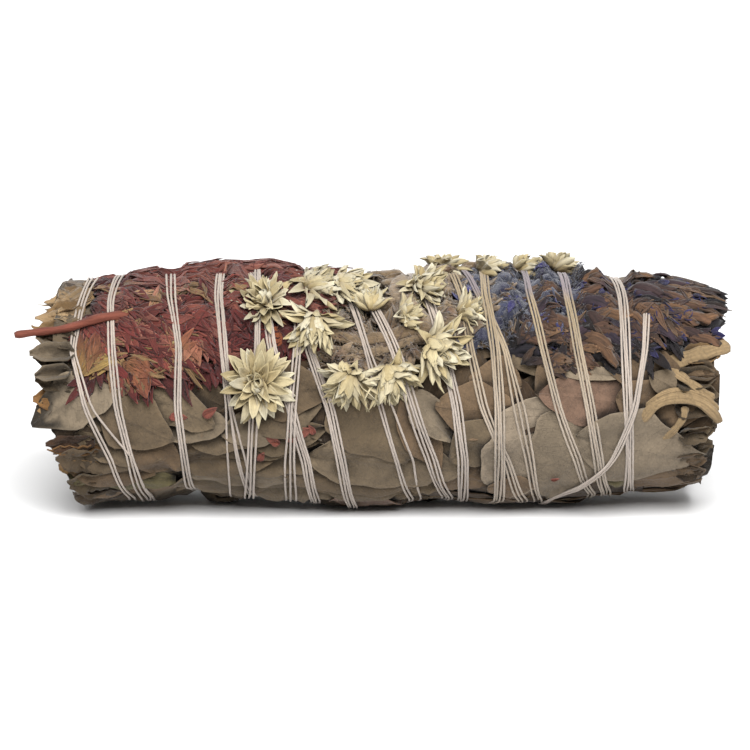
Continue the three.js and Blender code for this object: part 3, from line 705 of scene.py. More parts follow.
def cut_off(x, around, random, side):
    """Leaves are trimmed where the bundle ends, a little unevenly."""
    angle = angle_of(around)
    ragged = random.uniform(-0.6, 1.3)
    if side < 0:
        return np.maximum(x, left_end(angle) - ragged)
    return np.minimum(x, right_end(angle) + ragged)


def lay_leaf(field, leaf, random):
    """Drapes a leaf over what lies there already, and raises the field by it."""
    x, around, t, v = leaf_grid(leaf, random)
    if not leaf.get("free"):
        x = cut_off(cut_off(x, around, random, -1), around, random, 1)
    under = field.at(x, around)
    height = under
    for _ in range(leaf.get("stiff", 8)):
        height = np.maximum(blur_grid(height), under - 0.02)
    curl = random.uniform(0, 0.3) * np.abs(v) ** 3
    side = random.choice([-1, 1])
    lean = random.uniform(0.1, 0.75) * ((1 + side * v) / 2) ** 2.5
    place = np.stack([x, around], -1)
    buckle = 0.34 * ripple(place, int(random.integers(9999)), 6)
    buckle = buckle + 0.2 * ripple(place, int(random.integers(9999)), 2.4)
    crumple = 0.07 * ripple(place, int(random.integers(9999)), 1.3)
    lifted = curl + lean + buckle * (0.4 + 0.6 * np.abs(v)) + crumple + leaf.get("lift", 0) * t ** 3
    height = height + 0.04 + np.maximum(0, lifted)
    height = height - 0.12 * np.exp(-((v / 0.12) ** 2)) * (1 - t)
    field.raise_to(refine(x, 4), refine(around, 4), refine(height + LEAF_THICKNESS, 4))
    colours = KINDS[leaf.get("kind", "sage")]
    tint = varied(random, colours, 1)[0]
    return dict(x=x, around=around, height=height, t=t, v=v, tint=tint)


def random_leaf(random, x, angle, kinds):
    turn = random.normal(0, 16) + (180 if random.random() < 0.35 else 0)
    length = random.uniform(17, 30)
    run = heading(turn, 0)[:2] * length
    base = (x - run[0] / 2, angle - float(angle_of(run[1])) / 2)
    tip = (x + run[0] / 2, angle + float(angle_of(run[1])) / 2)
    kind = kinds[random.integers(len(kinds))]
    return dict(base=base, tip=tip, width=random.uniform(7.5, 12), kind=kind)


def deep_leaves(random):
    """The inner layer that shows through the gaps, all round."""
    stations = [(x, angle) for x in np.arange(-44, 50, 11) for angle in np.arange(-90, 270, 30)]
    random.shuffle(stations)
    for x, angle in stations:
        leaf = random_leaf(random, x + random.uniform(-5, 5), angle + random.uniform(-12, 12), ["deep"])
        yield dict(leaf, step=1.6, columns=9)


def hidden_side_leaves(random):
    """The outer leaves of the top, back and underside, by a seeded rule."""
    stations = [(x, angle) for x in np.arange(-45, 51, 10.5) for angle in np.arange(48, 292, 19)]
    random.shuffle(stations)
    for x, angle in stations:
        x, angle = x + random.uniform(-5, 5), angle + random.uniform(-8, 8)
        leaf = random_leaf(random, x, angle, ["sage", "sage", "brown"])
        yield dict(leaf, step=1.5, columns=9)


def all_leaves(field):
    """Every leaf in the order in which they are laid."""
    random = np.random.default_rng(5)
    laid = [lay_leaf(field, leaf, random) for leaf in deep_leaves(random)]
    laid += [lay_leaf(field, leaf, random) for leaf in hidden_side_leaves(random)]
    random = np.random.default_rng(8)
    laid += [lay_leaf(field, leaf, random) for leaf in FRONT_LEAVES]
    return laid


# The sprigs' shares of the bundle, in degrees round it.
SPRIG_STARTS = [-45, 25, 75, 145, 195, 265]


def sprig_of(angle):
    return int(np.searchsorted(SPRIG_STARTS, (angle + 45) % 360 - 45, side="right")) - 1


def add_leaf(bag, leaf, pack, dresser):
    x, around = leaf["x"], leaf["around"]
    thickness = LEAF_THICKNESS * (1 - 0.35 * np.abs(leaf["v"]) ** 4)
    lower = dresser.under_flowers(x, around, pack.settled(x, around, leaf["height"]))
    upper = dresser.under_flowers(x, around, pack.settled(x, around, leaf["height"] + thickness))
    upper = np.maximum(upper, lower + 0.1)
    points = np.stack([np.stack([x, around, lower], -1), np.stack([x, around, upper], -1)])
    rows, columns = x.shape
    pale = 1 + 0.16 * smooth(np.abs(leaf["v"]), 0.85, 1)
    # Painted shade: a leaf is darkened where it lies below the leaves round it, in the crevices between them.
    buried = np.clip(pack.near.at(x, around) - pack.settled(x, around, leaf["height"] + thickness), 0, 0.8)
    crevice_shade = np.exp(-2.6 * buried)
    tint = leaf["tint"] * np.broadcast_to(pale * crevice_shade, (2, rows, columns))[..., None]
    bag.add(rolled_up(points), sheet_faces(rows, columns), tint, grid_places(rows, columns))


# Thread

# Where each turn crosses the front, in millimetres along the bundle at the six front angles, in winding order.
# The first fourteen turns run to the right end and the last four run back over them.
FRONT_ANGLES = [95, 65, 35, 5, -25, -65]
TURNS = [
    [-43.0, -44.5, -45.4, -43.4, -39.4, -36.7],
    [-38.7, -39.8, -39.4, -38.5, -36.6, -34.6],
    [-31.0, -30.6, -29.4, -29.5, -28.6, -27.6],
    [-23.4, -23.6, -22.8, -21.9, -20.6, -19.3],
    [-19.3, -16.5, -15.4, -12.6, -10.3, -9.0],
    [-13.2, -12.2, -9.8, -6.8, -5.1, -3.4],
    [-4.9, -3.9, -1.3, 1.1, 3.4, 5.8],
    [-2.9, -0.9, 2.9, 5.7, 8.5, 11.1],
    [5.4, 7.9, 10.3, 12.2, 13.3, 13.3],
    [11.2, 13.0, 14.3, 16.2, 19.8, 22.6],
    [13.2, 15.6, 19.5, 21.6, 23.2, 24.8],
    [22.5, 23.2, 25.1, 27.4, 30.4, 33.0],
    [28.2, 28.9, 30.4, 32.1, 33.6, 35.0],
    [36.3, 37.2, 37.5, 37.9, 38.2, 38.5],
    [41.2, 40.9, 40.4, 39.0, 35.7, 26.2],
    [16.3, 16.6, 18.0, 18.6, 18.8, 18.7],
    [-11.5, -11.5, -11.6, -12.4, -12.8, -12.7],
    [-17.8, -17.6, -17.6, -18.1, -18.6, -19.1],
]
FIRST_RETURNING_TURN = 14


def side_by_side(count, *spacing):
    """The sideways places of strands that lie evenly, at the six front angles."""
    spacing = spacing * 6 if len(spacing) == 1 else spacing
    return [[(k - (count - 1) / 2) * step for step in spacing] for k in range(count)]


# The strands of each turn, as millimetres beside its line at the six front angles.
STRANDS = [
    [[-0.6, -0.4, -0.3, -0.2, -0.4, -0.5], [0, 0.1, 0.1, 0.2, 0.1, 0.3], [0.9, 0.7, 0.3, 1.1, 3.3, 2.8]],
    side_by_side(3, 0.5, 0.45, 0.4, 0.5, 0.45, 0.9),
    [[-0.6, -0.6, -0.3, -0.4, -0.5, -0.5], [0, 0, 0.05, 0, 0, 0], [0.6, 0.5, 0.5, 0.3, 0.5, 0.5]],
    [[-0.5, -0.4, -0.4, -0.3, -1.5, -2.6], [-0.1, -0.1, -0.1, 0.05, 0.3, 0.9],
     [0.25, 0.3, 0.3, 0.5, 1.2, 1.4], [0.6, 0.65, 0.6, 0.3, -0.1, 0.4]],
    side_by_side(4, 0.36, 0.36, 0.38, 0.38, 0.4, 0.42),
    side_by_side(4, 0.38, 0.38, 0.38, 0.4, 0.42, 0.42),
    [[-0.4, -0.4, -0.35, -0.4, -0.4, -0.4], [0, 0, 0, 0.05, 0.05, 0.05], [0.4, 0.4, 0.5, 1.5, 2.4, 1.2]],
    side_by_side(4, 0.4, 0.42, 0.46, 0.52, 0.56, 0.5),
    side_by_side(4, 0.36, 0.36, 0.38, 0.44, 0.46, 0.44),
    side_by_side(3, 0.4, 0.4, 0.45, 0.5, 0.5, 0.6),
    [[-0.3, -0.3, -0.35, -0.8, -0.7, -0.5], [0, 0, 0, -0.1, 0.1, 0], [0.3, 0.3, 0.35, 0.7, 0.6, 0.5]],
    side_by_side(3, 0.36, 0.38, 0.42, 0.5, 0.5, 0.5),
    side_by_side(4, 0.34, 0.36, 0.4, 0.42, 0.44, 0.44),
    side_by_side(4, 0.4, 0.4, 0.42, 0.38, 0.3, 0.46),
    side_by_side(3, 0.3, 0.34, 0.36, 0.3, 0.34, 0.4),
    side_by_side(4, 0.34, 0.36, 0.4, 0.42, 0.44, 0.46),
    side_by_side(3, 0.4, 0.42, 0.44, 0.5, 0.7, 0.75),
    side_by_side(3, 0.3, 0.34, 0.36, 0.5, 0.6, 0.6),
]
ANGLE_STEP = 2.5
BACK_MIDDLE = -180
TAIL_STEPS = 4
COTTON = linear(220, 204, 190)
COTTON_YELLOW = linear(188, 164, 120)
COTTON_BLUE = linear(130, 132, 190)
YELLOW_TURNS = (9, 10, 11, 12, 15)
BLUE_TURNS = (10, 11, 12)


def across_turn(values, following, angles):
    """A turn's values from 95 down to -265 degrees, given those at the front angles and the next turn's first."""
    return np.interp(-angles, [-a for a in FRONT_ANGLES] + [265], list(values) + [following])


def lane_runs():
    """Runs of turns that one strand makes without a break: the strand's number, its first turn and its last."""
    for lane in range(4):
        turns = [i for i, strands in enumerate(STRANDS) if len(strands) > lane]
        first = turns[0]
        for here, after in zip(turns, turns[1:] + [None]):
            if after != here + 1:
                yield lane, first, here
                first = after


def strand_line(lane, first, last):
    """A strand's route from the middle of the back to the middle of the back: along, degrees and turn."""
    along, degrees, turns = [], [], []
    for turn in range(first - 1, last + 1):
        angles = np.arange(95, -265, -ANGLE_STEP)
        if turn < first:
            angles = angles[angles < BACK_MIDDLE]
        if turn == last:
            angles = angles[angles >= BACK_MIDDLE]
        source = max(turn, 0)
        line = TURNS[source]
        following = TURNS[turn + 1][0] if turn + 1 < len(TURNS) else line[0] - 3
        x = across_turn(line, following, angles) if turn >= 0 else np.full(len(angles), following)
        x = x + 0.07 * np.sin(angles / 11 + 2.1 * lane + 1.7 * turn)
        beside = STRANDS[min(max(turn, first), last)][lane]
        after = STRANDS[turn + 1][lane][0] if turn + 1 <= last else beside[-1]
        if turn < first:
            shift = np.full(len(angles), beside[0])
        else:
            shift = across_turn(beside, after, angles)
        along.append(x + shift)
        degrees.append(angles - 360 * (turn - first))
        turns.append(np.full(len(angles), turn))
    return blur_line(np.concatenate(along), 3), np.concatenate(degrees), np.concatenate(turns)


def strand_heights(surface, lines):
    """Strands lie taut on what is under them, and the returning ones cross over the others."""
    lower_x, lower_angle = [], []
    for x, degrees, turns in lines:
        keep = turns < FIRST_RETURNING_TURN
        lower_x.append(x[keep])
        lower_angle.append((degrees[keep] + 265) % 360)
    lower_x, lower_angle = np.concatenate(lower_x), np.concatenate(lower_angle)
    heights = []
    for x, degrees, turns in lines:
        around = arc(degrees)
        resting = np.maximum(surface.at(x, around), -0.2)
        height = blur_line(np.maximum(blur_line(resting, 4), blur_line(resting, 40)), 12) + STRAND_LIFT
        back = np.flatnonzero(turns >= FIRST_RETURNING_TURN)
        rise = np.zeros(len(x))
        for k in back:
            level = np.abs(lower_angle - (degrees[k] + 265) % 360) < ANGLE_STEP
            gap = np.min(np.abs(lower_x[level] - x[k])) if level.any() else 9
            rise[k] = math.exp(-((gap / 1.2) ** 2))
        height = height + CROSSING_LIFT * np.minimum(1, 1.5 * blur_line(rise, 3))
        height[:TAIL_STEPS] -= np.linspace(1.4, 0, TAIL_STEPS)
        height[-TAIL_STEPS:] -= np.linspace(0, 1.4, TAIL_STEPS)
        heights.append(height)
    return heights


# Turns that the flowers cover, and the angle from which they do, up to the back of the crown.
COVERED = {2: 88, 3: 86, 4: 86, 5: 46, 6: 88, 9: 84, 14: 53, 16: 46, 17: 46}
COVERED_TO = -232


def press_field(lines, heights):
    """The greatest height that anything under the strands may have."""
    limit = Field(20)
    reach = np.arange(-PRESS_REACH, PRESS_REACH + 0.01, Field.CELL)
    offset_x, offset_around = np.meshgrid(reach, reach)
    distance = np.hypot(offset_x, offset_around)
    near = distance < PRESS_REACH
    offset_x, offset_around, distance = offset_x[near], offset_around[near], distance[near]
    rise = PRESS_SLOPE * np.maximum(0, distance - STRAND_RADIUS)
    rise = rise + PRESS_RISE * np.maximum(0, distance - 0.5) ** 2
    for (x, degrees, turns), height in zip(lines, heights):
        angle = (degrees + 265) % 360 - 265
        covered = np.array([COVERED.get(int(turn), 999) for turn in turns])
        seen = (angle < covered) & ((covered > 900) | (angle > COVERED_TO))
        steps = np.arange(len(x))
        fine = np.linspace(0, len(x) - 1, len(x) * 2)[TAIL_STEPS:-TAIL_STEPS]
        fine = fine[seen[np.rint(fine).astype(int)]]
        along = np.interp(fine, steps, x)[:, None] + offset_x
        around = arc(np.interp(fine, steps, degrees))[:, None] + offset_around
        limit.lower_to(along, around, np.interp(fine, steps, height)[:, None] - STRAND_RADIUS + rise)
    return limit


def thread_bag(lines, heights):
    bag = Bag()
    for (x, degrees, turns), height in zip(lines, heights):
        around = arc(degrees)
        path = np.stack([x, around, height], -1)
        rings = tube_rings(path, STRAND_RADIUS, STRAND_SIDES, (0, 0, 1))
        faces, places = loft(rings)
        run = np.cumsum(np.r_[0, np.linalg.norm(np.diff(path, axis=0), axis=1)])
        places = places.copy()
        places[..., 0] = (run / 1.5)[:, None]
        angle = (degrees + 265) % 360 - 265
        upper = smooth(angle, -10, 60) * (angle < 100)
        yellow = np.isin(turns, YELLOW_TURNS) * (0.3 + 0.4 * upper) + 0.1 * upper
        blue = 0.4 * np.isin(turns, BLUE_TURNS) * smooth(angle, 58, 72) * (angle < 100)
        tint = COTTON + (COTTON_YELLOW - COTTON) * yellow[:, None]
        tint = tint + (COTTON_BLUE - tint) * blue[:, None]
        tint = tint * (0.96 + 0.07 * np.sin(run / 3.1) + 0.04 * np.sin(run / 0.9))[:, None]
        bag.add(rolled_up(rings), faces, np.repeat(tint, STRAND_SIDES, axis=0), places)
    return bag


# Cut ends

STEM_RADIUS = 1.5
STEM_BARK = linear(126, 98, 62)
STEM_CUT = linear(176, 140, 92)
STEM_PITH = linear(120, 88, 52)
STEMS = [
    dict(angle=-10, radius=9.5, reach=2.4, end=38, size=1.15),
    dict(angle=50, radius=9.0, reach=1.2, end=40, size=0.9),
    dict(angle=110, radius=9.8, reach=1.6, end=36, size=1.0),
    dict(angle=170, radius=9.0, reach=2.6, end=41, size=0.85),
    dict(angle=230, radius=9.5, reach=1.8, end=37, size=1.1),
    dict(angle=290, radius=9.0, reach=2.2, end=40, size=0.95),
]


def end_strips(random, side):
    """Leaves folded into the bundle, seen edge-on where it was cut: each one's radius, first angle and span."""
    outermost = 14.2 if side < 0 else float(nominal(RIGHT_END)) - 1
    for radius in np.arange(2.2, outermost, 0.92):
        angle = random.uniform(0, 360)
        stop = angle + 360
        while angle < stop - 8:
            length = random.uniform(5, 12)
            span = math.degrees(length / radius)
            span = min(span, stop - angle)
            yield radius, angle, span
            angle += span + math.degrees(0.35 / radius)


def end_bag(bags, random, side):
    rows, columns = 6, 11
    stems = [(stem["radius"], math.radians(stem["angle"]), STEM_RADIUS * stem["size"] + 0.5) for stem in STEMS]
    for radius, start, span in end_strips(random, side):
        v = np.linspace(0, 1, columns)
        angle = np.radians(start + span * v)
        hook = random.uniform(0.2, 0.9, 2) * random.choice([-1, 1], 2)
        wobble = random.uniform(0, 0.3) * np.sin(v * random.uniform(4, 12) + random.uniform(0, 6))
        r = radius + wobble + hook[0] * (1 - smooth(v, 0, 0.25)) + hook[1] * smooth(v, 0.75, 1)
        r = np.clip(r, 0.8, 14.4)
        y, z = -r * np.cos(angle), r * np.sin(angle)
        for stem_radius, stem_angle, clear in stems if side < 0 else []:
            dy, dz = y + stem_radius * math.cos(stem_angle), z - stem_radius * math.sin(stem_angle)
            gap = np.hypot(dy, dz) + 1e-6
            push = np.maximum(0, clear + 0.25 - gap) / gap
            y, z = y + dy * push, z + dz * push
        middle_angle = start + span / 2
        end = left_end(middle_angle) if side < 0 else right_end(middle_angle)
        depth = random.uniform(-1.6, 0.9) - (0.5 if radius > 13 else 0)
        outer = end + side * depth + 0.5 * np.sin(v * random.uniform(2, 9) + random.uniform(0, 6))
        t = np.linspace(0, 1, rows)[:, None]
        x = (end - side * 7) * (1 - t) + outer[None] * t
        middle = np.stack([x, np.broadcast_to(y, x.shape), np.broadcast_to(z, x.shape)], -1)
        middle[..., 1:] *= (1 + 0.012 * np.sin(3 * t + middle_angle))[..., None]
        points = thicken(middle[None], random.uniform(0.25, 0.42))
        colours = SAGE_DEEP + SAGE if random.random() < 0.6 else SAGE_BROWN
        tint = varied(random, colours, 1, 0.2)
        faces = sheet_faces(rows, columns)
        if side > 0:
            faces = faces[:, ::-1]
        bag = bags[sprig_of(middle_angle)]
        bag.add(from_middle(points), faces, tint[0], grid_places(rows, columns))


def core_bag(bag):
    """The pressed inside of the bundle, which shows dark between leaves and ends. Its colour is painted shade."""
    count, sides = 40, 64
    angle = 360 * np.arange(sides) / sides
    rows = []
    for k in range(count):
        t = k / (count - 1)
        shrink = min(1, 8 * t, 8 * (1 - t)) ** 0.3 if 0 < t < 1 else 0.05
        x = (left_end(angle) + 4) * (1 - t) + (right_end(angle) - 4) * t
        radius = (nominal(x) + CORE_HEIGHT - 0.1) * shrink
        rows.append(np.stack([x, radius, angle], -1))
    rings = np.array(rows)
    faces, places = loft(rings)
    # Painted shade: the deep leaves' colour darkened to 0.45.
    bag.add(from_axis(rings), faces[:, ::-1], SAGE_DEEP[1] * 0.45, places)


TAN = linear(190, 158, 116)
HUSK_TAN = linear(164, 130, 88)
OCHRE = linear(152, 110, 64)
BARK = linear(84, 58, 38)

# Torn leaf ends that stick out where the bundle was cut: root as along, degrees and height, turn, length, width,
# bend, how far it is rolled up, and colour.
END_CURLS = [
    ((-43.6, 60, 0.1), 176, 7.6, 3.4, -8, 0.3, TAN), ((-44.2, 70, 0.1), 192, 6.2, 2.6, -16, 0.6, HUSK_TAN),
    ((-43.2, 79, -0.2), 168, 7.0, 3.8, -14, 0.3, TAN), ((-43.6, 91, -0.5), 186, 5.6, 3.4, -16, 0.4, HUSK_TAN),
    ((-45.0, 54, 0.0), 184, 6.6, 1.7, -4, 0.8, HUSK_TAN), ((-45.0, 48, -0.5), 178, 5.4, 2.6, 0, 1.0, BARK),
    ((-44.8, 41, -0.1), 172, 6.2, 3.2, 8, 0.9, SAGE[0]), ((-45.0, 34, 0.3), 183, 6.8, 2.8, 12, 1.7, SAGE[2]),
    ((-45.0, 30, -0.3), 170, 6.4, 3.2, -10, 0.7, SAGE[1]), ((-45.6, 24, 0.3), 188, 5.4, 2.2, 8, 2.2, SAGE[2]),
    ((-44.5, 19, -0.4), 177, 6.4, 3.6, 0, 0.5, SAGE_DEEP[2]),
    ((-45.0, 9, -0.7), 180, 6.2, 3.4, 0, 0.3, OCHRE), ((-44.6, 5, -1.1), 184, 6.2, 3.6, 0, 0.3, HUSK_TAN),
    ((-44.8, 0, -1.2), 180, 4.8, 3.4, 0, 0.2, BARK), ((-42.0, -14, 0.1), 182, 7.4, 2.6, 6, 0.4, BARK),
    ((-41.0, -18, 0.3), 181, 8.2, 1.5, 0, 0.4, OCHRE), ((-40.0, -25, 0.2), 177, 8.0, 4.2, 4, 0.4, SAGE[3]),
    ((-41.0, -31, 0.0), 184, 6.6, 3.8, -8, 0.3, HUSK_TAN), ((-39.0, -39, 0.3), 180, 7.4, 4.0, 6, 0.5, SAGE_DEEP[2]),
    ((-38.5, -48, 0.2), 176, 7.6, 4.4, 0, 0.3, SAGE[3]), ((-38.0, -56, 0.1), 181, 7.4, 4.0, 5, 0.4, SAGE_DEEP[0]),
    ((46.0, 34, 0.2), 2, 5.8, 3.2, -6, 0.9, HUSK_TAN), ((46.2, 26, -0.2), -8, 5.4, 3.0, 8, 1.2, SAGE[3]),
    ((45.0, 19, 0.1), 8, 6.4, 3.4, -12, 1.4, SAGE_DEEP[2]), ((46.4, 12, -0.3), -4, 5.2, 3.2, 10, 0.8, SAGE[1]),
    ((45.0, 4, 0.1), 6, 6.4, 3.6, -14, 1.0, SAGE[3]), ((46.5, -5, -0.4), -6, 4.8, 3.4, 8, 0.6, SAGE_DEEP[2]),
    ((45.6, -12, 0.2), 2, 5.4, 2.4, -16, 1.8, SAGE[1]), ((45.0, -22, -0.3), 3, 5.8, 4.2, 4, 0.4, SAGE_DEEP[2]),
    ((45.0, -32, 0.0), -3, 5.0, 3.8, 0, 0.4, SAGE_BROWN[0]), ((44.6, -42, 0.0), 0, 5.0, 3.6, 5, 0.5, SAGE_DEEP[0]),
]


def end_curls(bags):
    for index, (root, turn, length, width, bend, rolled, tint) in enumerate(END_CURLS):
        start = np.array([[root[0], float(arc(root[1])), root[2]]])
        points, faces, places = blades(
            start, heading([turn], 3), heading([turn], 93), length, width, shape=strap, bend=bend, cup=rolled,
            wave=0.5, thickness=0.16, rows=13, columns=9, seed=index)
        # Dark at the root, painted shade where the curl comes out of the cut end, and paler towards the tip, the dry
        # edge's own colour.
        shades = shaded([tint * 0.4], [tint * 1.15], points.shape, 1.2)
        bags[sprig_of(root[1])].add(rolled_up(points), faces, shades, places)


# The stalks of folded leaves that loop at the right end: width, then along, degrees and height.
LEAF_STALKS = [
    (1.5, [(39.6, -4, 0.1), (42, 6, 0.9), (45.2, 9.5, 1.3), (48.6, 7, 1.3), (50.9, 0, 1.0), (51.6, -6, 0.2)]),
    (1.2, [(40.6, 4, 0.2), (43, 11, 0.7), (46.4, 13, 0.9), (49.6, 9, 1.0), (51.4, 2, 0.6)]),
    (1.3, [(44.0, 26, 0.2), (46, 21, 0.8), (48.6, 14, 1.0), (50.8, 9, 0.7)]),
    (1.1, [(43.2, -16, -0.2), (45, -8, 0.6), (46.2, -1, 0.9), (46.4, 5, 0.5)]),
    (2.3, [(44.0, 29, 0.2), (47, 32, 0.8), (50.5, 36.5, 0.8), (53.2, 41, 0.4)]),
]
STALK_TINT = linear(184, 156, 116)


def smooth_path(points, steps):
    """A smooth line through points, with that many steps."""
    points = np.asarray(points, float)
    padded = np.concatenate([2 * points[:1] - points[1:2], points, 2 * points[-1:] - points[-2:-1]])
    made = []
    for t in np.linspace(0, len(points) - 1 - 1e-6, steps):
        k = int(t)
        f = t - k
        a, b, c, d = padded[k:k + 4]
        square, cube = 2 * a - 5 * b + 4 * c - d, 3 * b - a - 3 * c + d
        made.append(0.5 * (2 * b + (c - a) * f + square * f ** 2 + cube * f ** 3))
    return np.array(made)


def surface_path(points, steps):
    """A path given as along, degrees and height, on the unrolled bundle."""
    path = smooth_path(points, steps)
    path[:, 1] = arc(path[:, 1])
    return path


def rounded_off(steps, least):
    """The size of a stalk's sections, smaller at both ends."""
    step = np.arange(steps)
    return np.minimum(1, least + np.minimum(step, steps - 1 - step) / 3)


def stalk_loops(bag):
    """Flat ribbed stalks with a groove along the top."""
    steps, sides = 40, 20
    turn = ring_turns(sides)
    step = np.arange(steps)
    for index, (width, points) in enumerate(LEAF_STALKS):
        path = surface_path(points, steps)
        path[:, 2] += 0.3
        rings = tube_rings(path, 1, sides, (0, 0, 1))
        ribs = np.sin(5 * turn + 0.12 * step[:, None])
        groove = 1 - 0.4 * np.exp(-(((turn - np.pi / 2) / 0.5) ** 2)) + 0.1 * ribs
        size = rounded_off(steps, 0.35) * (1 + 0.1 * np.sin(0.5 * step + index))
        reach = np.array([width / 2, width / 2, 0.36]) * (groove * size[:, None])[..., None]
        rings = path[:, None] + (rings - path[:, None]) * reach
        bag.add_tube(rings, (0.75 + 0.3 * ribs ** 2)[..., None] * STALK_TINT)


def from_middle(points):
    """Points (x, y, z) from the bundle's axis in the frame's metres."""
    return (points + MIDDLE + np.array([0, 0, AXIS_HEIGHT])) * MM


def woody_stem(stem, index, material):
    """A stem with ribs, cut slanting so that its pale wood and darker pith show."""
    bag = Bag()
    sides = 16
    turn = ring_turns(sides)
    random = np.random.default_rng(70 + index)
    ribs = 1 + 0.06 * np.sin(5 * turn + index) + 0.04 * random.normal(size=sides)
    start = left_end(stem["angle"]) - stem["reach"]
    stations = [(start, 0.1), (start, 0.45), (start, 0.8), (start + 0.15, 0.98)]
    stations += [(x, 1) for x in np.linspace(start + 0.8, stem["end"] - 1, 26)] + [(stem["end"], 0.8)]
    rings = []
    for x, share in stations:
        t = (x - start) / (stem["end"] - start)
        thick = STEM_RADIUS * stem["size"] * (1 - 0.2 * t) * share * ribs
        bend = 0.25 * math.sin(7 * t + index)
        angle = math.radians(stem["angle"] + 1.5 * bend)
        radius = stem["radius"] + bend
        y = thick * np.cos(turn) - radius * math.cos(angle)
        z = thick * np.sin(turn) + radius * math.sin(angle)
        slant = 0.9 * np.cos(turn) * share * (1 - smooth(t, 0, 0.03))
        rings.append(np.stack([x + slant, y, z], -1))
    rings = np.array(rings)
    faces, places = loft(rings)
    tint = np.repeat([STEM_BARK], len(rings) * sides, 0).reshape(len(rings), sides, 3)
    tint[:3] = STEM_CUT
    tint[0] = STEM_PITH
    bag.add(from_middle(rings), faces, tint, places)
    bag.piece(f"woody_stem_{index + 1}", material, "sage_stem", f"sage_stem_{index + 1}")


# The three folded leaves under the bundle that reach the table.
LOW_POINTS = [-23.6, 0.6, 28.8]


def low_points(bag):
    rows, columns = 17, 21
    for x in LOW_POINTS:
        t = np.linspace(-1, 1, rows)[:, None]
        v = np.linspace(-1, 1, columns)[None, :]
        around = arc(-95 + 17 * v) + 0.7 * t
        along = x + 2.7 * t * (1 + 0.2 * np.sin(4 * v)) + 0.5 * v
        wrinkle = 0.25 * ripple(np.stack([along, around + 0 * t], -1), 3, 1.6)
        radius = 16.0 + 1.9 * np.sqrt(np.clip(1 - 0.9 * t ** 2 - 0.7 * v ** 4, 0, 1)) + wrinkle
        bottom = AXIS_HEIGHT / np.maximum(0.3, -np.sin(around / BUNDLE_RADIUS))
        upper = np.stack([along, np.minimum(radius, bottom), angle_of(around)], -1)
        lower = upper - np.array([0, 0.3, 0])
        points = from_axis(np.stack([lower, upper]))
        bag.add(points, sheet_faces(rows, columns), SAGE_DEEP[2], grid_places(rows, columns))


# Flowers

RED = [linear(170, 98, 80), linear(148, 76, 62), linear(190, 122, 102), linear(132, 60, 52)]
RED_DARK = [linear(118, 44, 40), linear(132, 54, 48), linear(104, 38, 34)]
# Near-black red for petal roots and for the florets under the rest: painted shade in the depths of the sprays.
RED_PAINTED_SHADE = [linear(42, 16, 14), linear(56, 22, 18)]
RED_TAN = [linear(166, 132, 88), linear(152, 118, 76), linear(180, 140, 100)]
PALE_TAN = [linear(196, 166, 124)]
CREAM = [linear(240, 224, 178), linear(222, 202, 152), linear(250, 240, 208)]
BEIGE = [linear(158, 134, 104), linear(136, 113, 85), linear(178, 154, 124)]
BEIGE_DARK = [linear(84, 62, 44), linear(68, 50, 36), linear(104, 72, 58)]
BLUE_GREY = [linear(98, 100, 116), linear(74, 78, 104), linear(124, 124, 134)]
BLUE_DEEP = [linear(50, 52, 72), linear(60, 60, 84)]
BLUE = [linear(56, 52, 112), linear(70, 66, 126)]
HUSK = [linear(104, 74, 56), linear(74, 52, 46), linear(142, 104, 72), linear(62, 48, 62)]
# Near-black for husks and petals deep in the spray and for petal roots: painted shade.
HUSK_PAINTED_SHADE = [linear(26, 20, 24), linear(32, 26, 36), linear(42, 28, 22)]

# Where flowers lie thick, each as a line from start to end and how far it reaches to each side.
MOUNDS = [
    dict(start=(-45, 84), end=(-10, 88), half=9.5),
    dict(start=(-44, 36), end=(-12, 50), half=6.6),
    dict(start=(-9, 52), end=(12, 50), half=5.0),
    dict(start=(-8, 78), end=(26, 92), half=7.5),
    dict(start=(14, 60), end=(32, 78), half=8.0),
    dict(start=(22, 58), end=(51, 67), half=8.0),
]


def mound_share(x, around):
    """1 in the middle of the flowers, and 0 where there are none."""
    most = np.zeros(x.shape)
    for mound in MOUNDS:
        start = np.array([mound["start"][0], arc(mound["start"][1])])
        run = np.array([mound["end"][0], arc(mound["end"][1])]) - start
        length = np.hypot(*run)
        gap_around = (around - start[1] + GIRTH / 2) % GIRTH - GIRTH / 2
        ahead = ((x - start[0]) * run[0] + gap_around * run[1]) / length
        side = (-(x - start[0]) * run[1] + gap_around * run[0]) / length
        past = np.maximum(0, np.maximum(-ahead, ahead - length))
        share = np.clip(1 - (side / mound["half"]) ** 2 - (past / 3) ** 2, 0, 1)
        most = np.maximum(most, np.sqrt(share))
    return most


